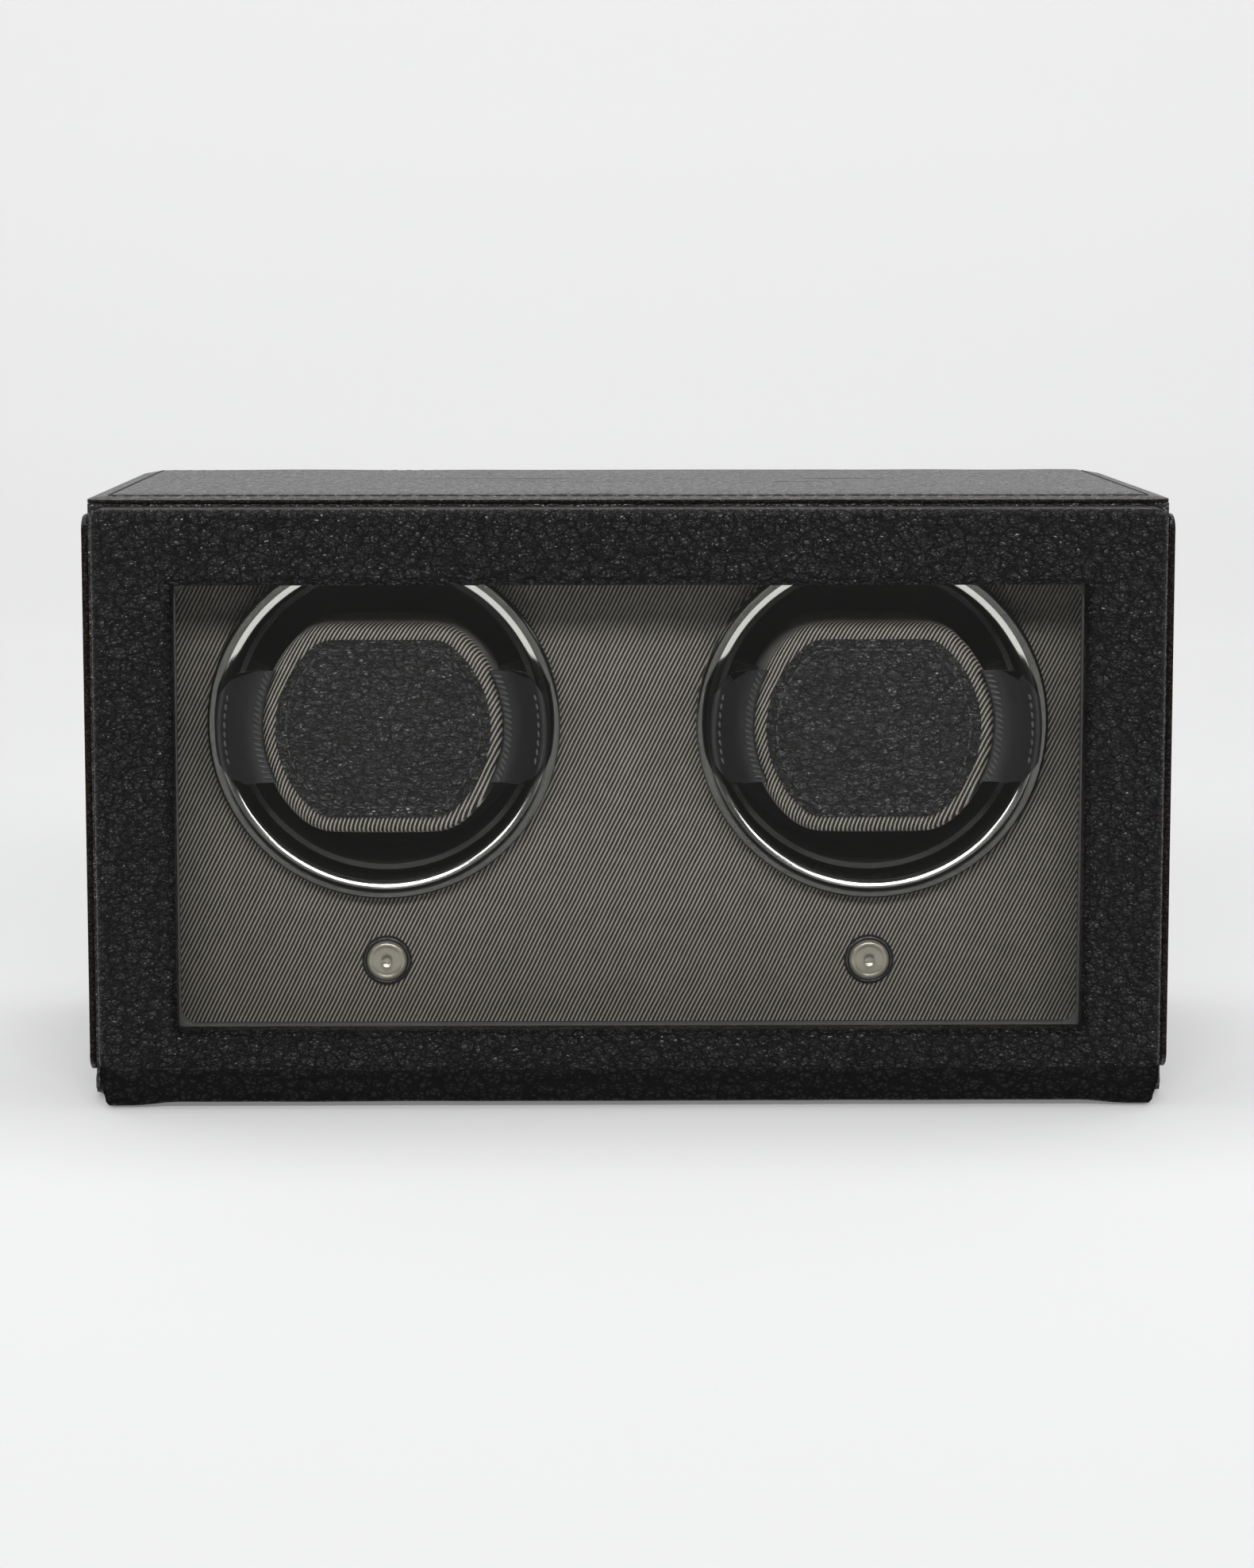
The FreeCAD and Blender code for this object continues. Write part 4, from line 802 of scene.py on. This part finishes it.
def rings():
    for side in SIDES:
        low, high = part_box(f"{side}_chrome_ring")
        centre = middle(low, high)
        outer = (high[0] - low[0]) / 2
        lip = outer - 4.9 * MM
        neck = lip + 2.0 * MM
        front, back = low[1], high[1]
        fascia = back - 14 * MM
        crown = from_point(lip, front, [
            (0, 2.4), (0, 1.5), (0.06, 0.98), (0.3, 0.66), (0.8, 0.42), (1.5, 0.23), (2.3, 0.10),
            (3.2, 0.02), (4.0, 0), (4.5, 0.10), (4.8, 0.40)])
        crown += [(outer, front + 1.1 * MM), (outer, front + 2.4 * MM), (outer, fascia)]
        curve = [tuple(point) for point in smooth_path(crown, 5)]
        profile = curve + [(neck, fascia), (neck, back), (lip, back)]
        ring = lathe(f"{side}_polished_ring", profile, centre, 200)
        dress(ring, "chrome", "case", [f"{side}_chrome_ring"])
        # The outer slope takes the darker chrome copy, a painted dark reflection, while the lip
        # keeps the bright chrome.
        ring.data.materials.append(MATERIAL["chrome_painted_dark"])
        for face in ring.data.polygons:
            reach = math.hypot(face.center.x - centre[0], face.center.z - centre[1])
            face.material_index = 1 if reach > lip + 1.9 * MM else 0


def buttons():
    for side in SIDES:
        low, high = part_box(f"{side}_button_bezel")
        centre = middle(low, high)
        front, back = low[1], high[1]
        outer = (high[0] - low[0]) / 2
        bore = 5.95 * MM
        sleeve = 6.6 * MM
        fascia = front + 1.4 * MM
        rim = from_point(bore, front, [(0, 0.7), (0.15, 0.15), (0.55, 0)])
        rim += from_point(outer, front, [(-0.35, 0.25), (0, 0.8)]) + [(outer, fascia)]
        profile = [tuple(p) for p in smooth_path(rim, 4)] + [(sleeve, fascia), (sleeve, back),
                                                             (bore, back)]
        bezel = lathe(f"{side}_bezel_ring", profile, centre, 96)
        dress(bezel, "bezel", "case", [f"{side}_button_bezel"])
        low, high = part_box(f"{side}_push_button")
        front, back = low[1], high[1]
        cap, stem = 5.9 * MM, 1.7 * MM
        collar_front, collar_back = back - 4.9 * MM, back - 4.1 * MM
        face = from_point(0, front, [(0.01, 0.75), (0.9, 0.72), (1.7, 0.42), (2.5, 0.30),
                                     (3.9, 0.18), (4.7, 0), (5.3, 0.15), (5.75, 0.6)])
        face.append((cap, front + 1.3 * MM))
        collar = high[0] - centre[0]
        profile = [tuple(p) for p in smooth_path(face, 4)]
        profile += [(cap, collar_front), (collar, collar_front), (collar, collar_back),
                    (stem, collar_back), (stem, back), (0.01 * MM, back)]
        button = lathe(f"{side}_button_cap", profile, centre, 96)
        dress(button, "pearl", f"{side}_button", [f"{side}_push_button"])


# ---------------------------------------------------------------- cuffs

def flat_round(radius, flat, steps=144, sharp=34):
    """(x, z) points of a circle whose top and bottom are cut flat, with soft corners."""
    result = []
    for step in range(steps):
        angle = 2 * math.pi * step / steps
        reach = radius
        if abs(math.sin(angle)) > 1e-6:
            limit = flat / abs(math.sin(angle))
            reach = (radius ** -sharp + limit ** -sharp) ** (-1 / sharp)
        result.append((reach * math.cos(angle), reach * math.sin(angle)))
    return result


def cuff_cushion_shape(name, centre, front, back, radius, flat):
    """A closed cushion whose front edge rolls back."""
    roll = 3.2 * MM
    loops = [(inset * MM, front) for inset in (24, 16, 10, 6)]
    loops += [(inset, front + fall) for fall, inset in quarter(roll)]
    depth = back - front
    loops += [(0, front + roll + (depth - 2 * roll) * k / 6) for k in range(1, 7)]
    loops += [(inset, back - rise) for inset, rise in quarter(roll)[1:]]
    loops += [(10 * MM, back), (20 * MM, back)]
    rings_of_points = []
    for inset, y in loops:
        outline = flat_round(radius - inset, flat - inset)
        rings_of_points.append([(centre[0] + x, y, centre[1] + z) for x, z in outline])
    return loft(name, rings_of_points)


def inflate(thing, voxel, pressure, cap, frames=20):
    """Swells a padded piece by cloth simulation, and limits how far each point may move."""
    scene = bpy.context.scene
    remesh = thing.modifiers.new("remesh", "REMESH")
    remesh.mode = "VOXEL"
    remesh.voxel_size = voxel
    apply_modifiers(thing)
    before = [vertex.co.copy() for vertex in thing.data.vertices]
    cloth = thing.modifiers.new("cloth", "CLOTH")
    cloth.settings.use_pressure = True
    cloth.settings.uniform_pressure_force = pressure
    cloth.settings.effector_weights.gravity = 0
    cloth.settings.tension_stiffness = 40
    cloth.settings.compression_stiffness = 40
    cloth.settings.mass = 0.2
    cloth.point_cache.frame_start = 1
    cloth.point_cache.frame_end = frames
    for number in range(1, frames + 1):
        scene.frame_set(number)
    apply_modifiers(thing)
    scene.frame_set(1)
    for vertex, start in zip(thing.data.vertices, before):
        move = vertex.co - start
        if move.length > cap:
            vertex.co = start + move.normalized() * cap
    smooth = thing.modifiers.new("smooth", "SMOOTH")
    smooth.iterations = 2
    smooth.factor = 0.5
    subdivide = thing.modifiers.new("subdivide", "SUBSURF")
    subdivide.levels = 1
    subdivide.render_levels = 1
    apply_modifiers(thing)
    thing.data.polygons.foreach_set("use_smooth", [True] * len(thing.data.polygons))
    return thing


def apply_modifiers(thing):
    graph = bpy.context.evaluated_depsgraph_get()
    graph.update()
    mesh = bpy.data.meshes.new_from_object(thing.evaluated_get(graph))
    thing.modifiers.clear()
    old = thing.data
    thing.data = mesh
    bpy.data.meshes.remove(old)


def cuff_pad(side, centre, front, back, radius, flat):
    """The stitched leather pad on the cuff's face."""
    seam, puff = 3.0 * MM, 0.55 * MM
    offsets = [0, 0, 0.15, 0.45, 1.0, 1.8, 2.4, 2.7, 3.0, 3.3, 3.6, 4.2, 5.2, 7, 10, 14, 19, 24]
    loops = []
    for number, offset in enumerate(offsets):
        inset = offset * MM
        level = 0.0 if number == 0 else panel_height(inset + 0.2 * MM, seam, puff)
        outline = flat_round(radius - inset, flat - inset, sharp=44)
        loops.append([(centre[0] + x, back - level - (wander((x, 0, z), 0.006, 0.10 * MM)
                                                      if offset > 4 else 0.0), centre[1] + z)
                      for x, z in outline])
    pad = loft(f"{side}_pad_leather", loops)
    dress(pad, "pad", f"{side}_drum", [f"{side}_cuff_pad"])
    level = panel_height(seam, seam, puff) + 0.12 * MM
    path = [((centre[0] + x, back - level, centre[1] + z), (0, -1, 0))
            for x, z in flat_round(radius - seam, flat - seam, sharp=44)]
    thread = stitches(f"{side}_pad_stitches", path, 3.6 * MM, 2.5 * MM, 0.85 * MM, 0.7 * MM)
    dress(thread, "pad_thread", f"{side}_drum")


def wing_profile(tip, grip, seat, reach, rear):
    """(radius, y) of one wing: the flared tab in front, the gripping bow behind."""
    wall = 2.2 * MM
    bow = [(-1.0, 32.0), (0, 36.5), (0, 40.5)]
    inside = [(-2.0, 39.6), (-2.0, 37.2)]
    hem = [(0, 22.0), (0, 12.6), (-0.3, 9.8), (-1.9, 9.7), (-2.5, 9.0), (-1.9, 8.2), (0.4, 7.9)]
    return (from_point(reach, tip, [(0, 0.9), (-2.2, 4.0), (-5.6, 8.2)])
            + from_point(seat + wall, tip, [(0.6, 13.0), (0, 20.0)])
            + from_point(grip, tip, bow)
            + [(seat + wall, rear - 0.2 * MM), (seat + 0.2 * MM, rear - 0.4 * MM),
               (seat, rear - 2.6 * MM)]
            + from_point(grip, tip, inside) + from_point(seat, tip, hem)
            + from_point(reach, tip, [(-7.4, 6.2), (-3.8, 2.6), (-1.6, 0.1), (-0.5, 0)]))


def cuff_wings(side, axis):
    """Two smooth leather wings with a whip-stitched root and a stitched outer edge."""
    low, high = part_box(f"{side}_cuff_wings")
    reach = (high[0] - low[0]) / 2
    tip, rear = low[1], high[1]
    seat = reach - 10.5 * MM
    grip = 43.3 * MM
    profile = closed_smooth(wing_profile(tip, grip, seat, reach, rear), 3)
    half = (high[2] - low[2]) / 2
    steps = 26
    for number, facing in enumerate((-1, 1)):
        loops = []
        for k in range(-steps, steps + 1):
            share = k / steps
            loop = []
            for r, y in profile:
                rounding = ease(r, reach - 4.5 * MM, reach + 0.5 * MM) * (y < tip + 8 * MM)
                height = half - 0.8 * MM - 6.5 * MM * rounding ** 1.5
                soft = math.sin(share * math.pi / 2)
                z = height * (share * 0.3 + soft * 0.7)
                angle = math.asin(max(-0.99, min(0.99, z / r)))
                loop.append((axis[0] + facing * r * math.cos(angle), y, axis[1] + z))
            loops.append(loop)
        wing = loft(f"{side}_cuff_wing_{number + 1}", loops)
        dress(wing, "wing", f"{side}_drum", [f"{side}_cuff_wings"])
        # radius, y, half height, pitch of the stitches, their length, their lean in degrees
        paths = {
            "root": (seat - 0.9 * MM, tip + 8.0 * MM, half - 1.6 * MM, 1.7 * MM, 3.0 * MM, 62),
            "rim": (reach - 2.6 * MM, tip + 0.9 * MM, half - 6.6 * MM, 2.6 * MM, 1.9 * MM, 8)}
        for label, (r, y, span, pitch, length, lean) in paths.items():
            path = []
            for k in range(61):
                z = -span + 2 * span * k / 60
                angle = math.asin(z / r)
                point = (axis[0] + facing * r * math.cos(angle), y - 0.15 * MM, axis[1] + z)
                path.append((point, (-facing * 0.5, -0.85, 0)))
            thread = stitches(f"{side}_wing_{number + 1}_{label}_stitches", path, pitch, length,
                              0.9 * MM, 0.8 * MM, closed=False, lean=lean)
            dress(thread, "wing_thread", f"{side}_drum")


def cuffs():
    for side in SIDES:
        low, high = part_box(f"{side}_cuff_fabric")
        centre = middle(low, high)
        radius, flat = (high[0] - low[0]) / 2, (high[2] - low[2]) / 2
        swell, sink = 0.5 * MM, 0.3 * MM
        cushion = cuff_cushion_shape(f"{side}_cuff_cushion", centre, low[1] + swell,
                                     high[1] - swell, radius - swell, flat - swell)
        inflate(cushion, 1.8 * MM, 4.0, swell)
        dress(cushion, "cuff", f"{side}_drum",
              [f"{side}_cuff_fabric", f"{side}_cuff_core"])
        pad_low, pad_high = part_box(f"{side}_cuff_pad")
        cuff_pad(side, centre, pad_low[1], pad_high[1] + sink, (pad_high[0] - pad_low[0]) / 2,
                 (pad_high[2] - pad_low[2]) / 2)
        cuff_wings(side, middle(*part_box(f"{side}_chrome_ring")))


# ---------------------------------------------------------------- stage, light, camera

def stage_material():
    """Pale paper that glows a little, more so higher up and further back, to stay even.

    Seen straight from the camera it also glows in front, where a view from behind looks.
    """
    material, tree, shader = new_material("pale_backdrop")
    _, depth, height = add(tree, "ShaderNodeSeparateXYZ", {0: position(tree)}).outputs
    full_height, under_box = 0.6, 0.24
    glow = ramp(tree, calc(tree, "MULTIPLY", height, 1 / full_height),
                [(0.0, grey(0.20)), (0.20, grey(0.27)), (0.60, grey(0.34)), (1.0, grey(0.37))])
    run = add(tree, "ShaderNodeMapRange", {"Value": depth, "From Min": -0.6,
                                           "From Max": 1.4}).outputs[0]
    lift = ramp(tree, run, [(0.0, grey(0.0)), (0.20, grey(under_box)), (0.38, grey(under_box)),
                            (0.62, grey(0.31)), (1.0, grey(0.42))])
    total = calc(tree, "ADD", glow, calc(tree, "SUBTRACT", lift, under_box))
    seen = add(tree, "ShaderNodeLightPath").outputs["Is Camera Ray"]
    far = add(tree, "ShaderNodeMapRange", {"Value": depth, "From Min": -0.62, "From Max": -1.8,
                                           "To Max": 0.52}).outputs[0]
    feed(tree, shader, {
        "Base Color": (0.70, 0.70, 0.70, 1), "Roughness": 0.9, "Specular IOR Level": 0.1,
        "Emission Color": (1, 1, 1, 1),
        "Emission Strength": calc(tree, "MULTIPLY_ADD", seen, far, total)})
    return material


def sweep_floor():
    """A pale floor that curves up into a backdrop."""
    back, radius, top, side, front = 1.4, 1.2, 3.6, 3.5, -3.2
    profile = [(front, 0.0), (-1.0, 0.0), (0.0, 0.0), (back, 0.0)]
    for degrees in range(6, 91, 6):
        angle = math.radians(degrees)
        profile.append((back + radius * math.sin(angle), radius * (1 - math.cos(angle))))
    profile.append((back + radius, top))
    points, faces = [], []
    for x in (-side, side):
        points += [(x, y, z) for y, z in profile]
    count = len(profile)
    faces = [(k, k + 1, count + k + 1, count + k) for k in range(count - 1)]
    floor = make_mesh("backdrop", points, faces)
    floor.data.materials.append(stage_material())


def area_light(name, place, target, size, power):
    data = bpy.data.lights.new(name, "AREA")
    data.shape = "RECTANGLE"
    data.size, data.size_y = size
    data.energy = power
    light = bpy.data.objects.new(name, data)
    bpy.context.scene.collection.objects.link(light)
    light.location = place
    light.rotation_euler = (Vector(target) - Vector(place)).to_track_quat("-Z", "Y").to_euler()
    return light


def world_light():
    """Light from above and behind, and almost none from the camera's side."""
    world = bpy.data.worlds.new("studio")
    world.use_nodes = True
    tree = world.node_tree
    direction = add(tree, "ShaderNodeTexCoord").outputs["Generated"]
    axes = add(tree, "ShaderNodeSeparateXYZ", {0: direction})
    behind = add(tree, "ShaderNodeMapRange", {"Value": axes.outputs[1], "From Min": -0.45,
                                              "From Max": 0.0, "To Min": 0.02, "To Max": 0.42})
    seen = add(tree, "ShaderNodeLightPath").outputs["Is Camera Ray"]
    strength = calc(tree, "MAXIMUM", behind.outputs[0], calc(tree, "MULTIPLY", seen, 0.83))
    feed(tree, tree.nodes["Background"], {"Strength": strength, "Color": (0.97, 0.98, 1.0, 1)})
    bpy.context.scene.world = world


def lights():
    world_light()
    area_light("key_above", (0.0, 0.20, 1.75), (0, 0.02, 0.05), (1.9, 1.0), 13)
    area_light("front_softbox", (0.0, -1.70, 0.88), (0, -0.05, 0.10), (1.2, 0.30), 22)
    for number, sign in enumerate((-1, 1)):
        area_light(f"side_softbox_{number + 1}", (sign * 1.05, -1.40, 0.80), (0, -0.05, 0.10),
                   (0.5, 0.4), 3.5)


def camera():
    data = bpy.data.cameras.new("camera")
    data.lens = 90.8
    data.sensor_width = 36
    data.clip_end = 50
    thing = bpy.data.objects.new("camera", data)
    bpy.context.scene.collection.objects.link(thing)
    thing.location = (-15.9 * MM, -1195.8 * MM, 232.8 * MM)
    pitch, yaw = 7.20, -0.78
    thing.rotation_euler = (math.radians(90 - pitch), 0, math.radians(yaw))
    bpy.context.scene.camera = thing


# ---------------------------------------------------------------- assembly

dress_cad_nodes()
top_leather()
side_band()
base_edge()
door_skin()
hinge_sheet()
rings()
buttons()
cuffs()
sweep_floor()
lights()
camera()
bpy.context.scene.view_settings.view_transform = "Standard"
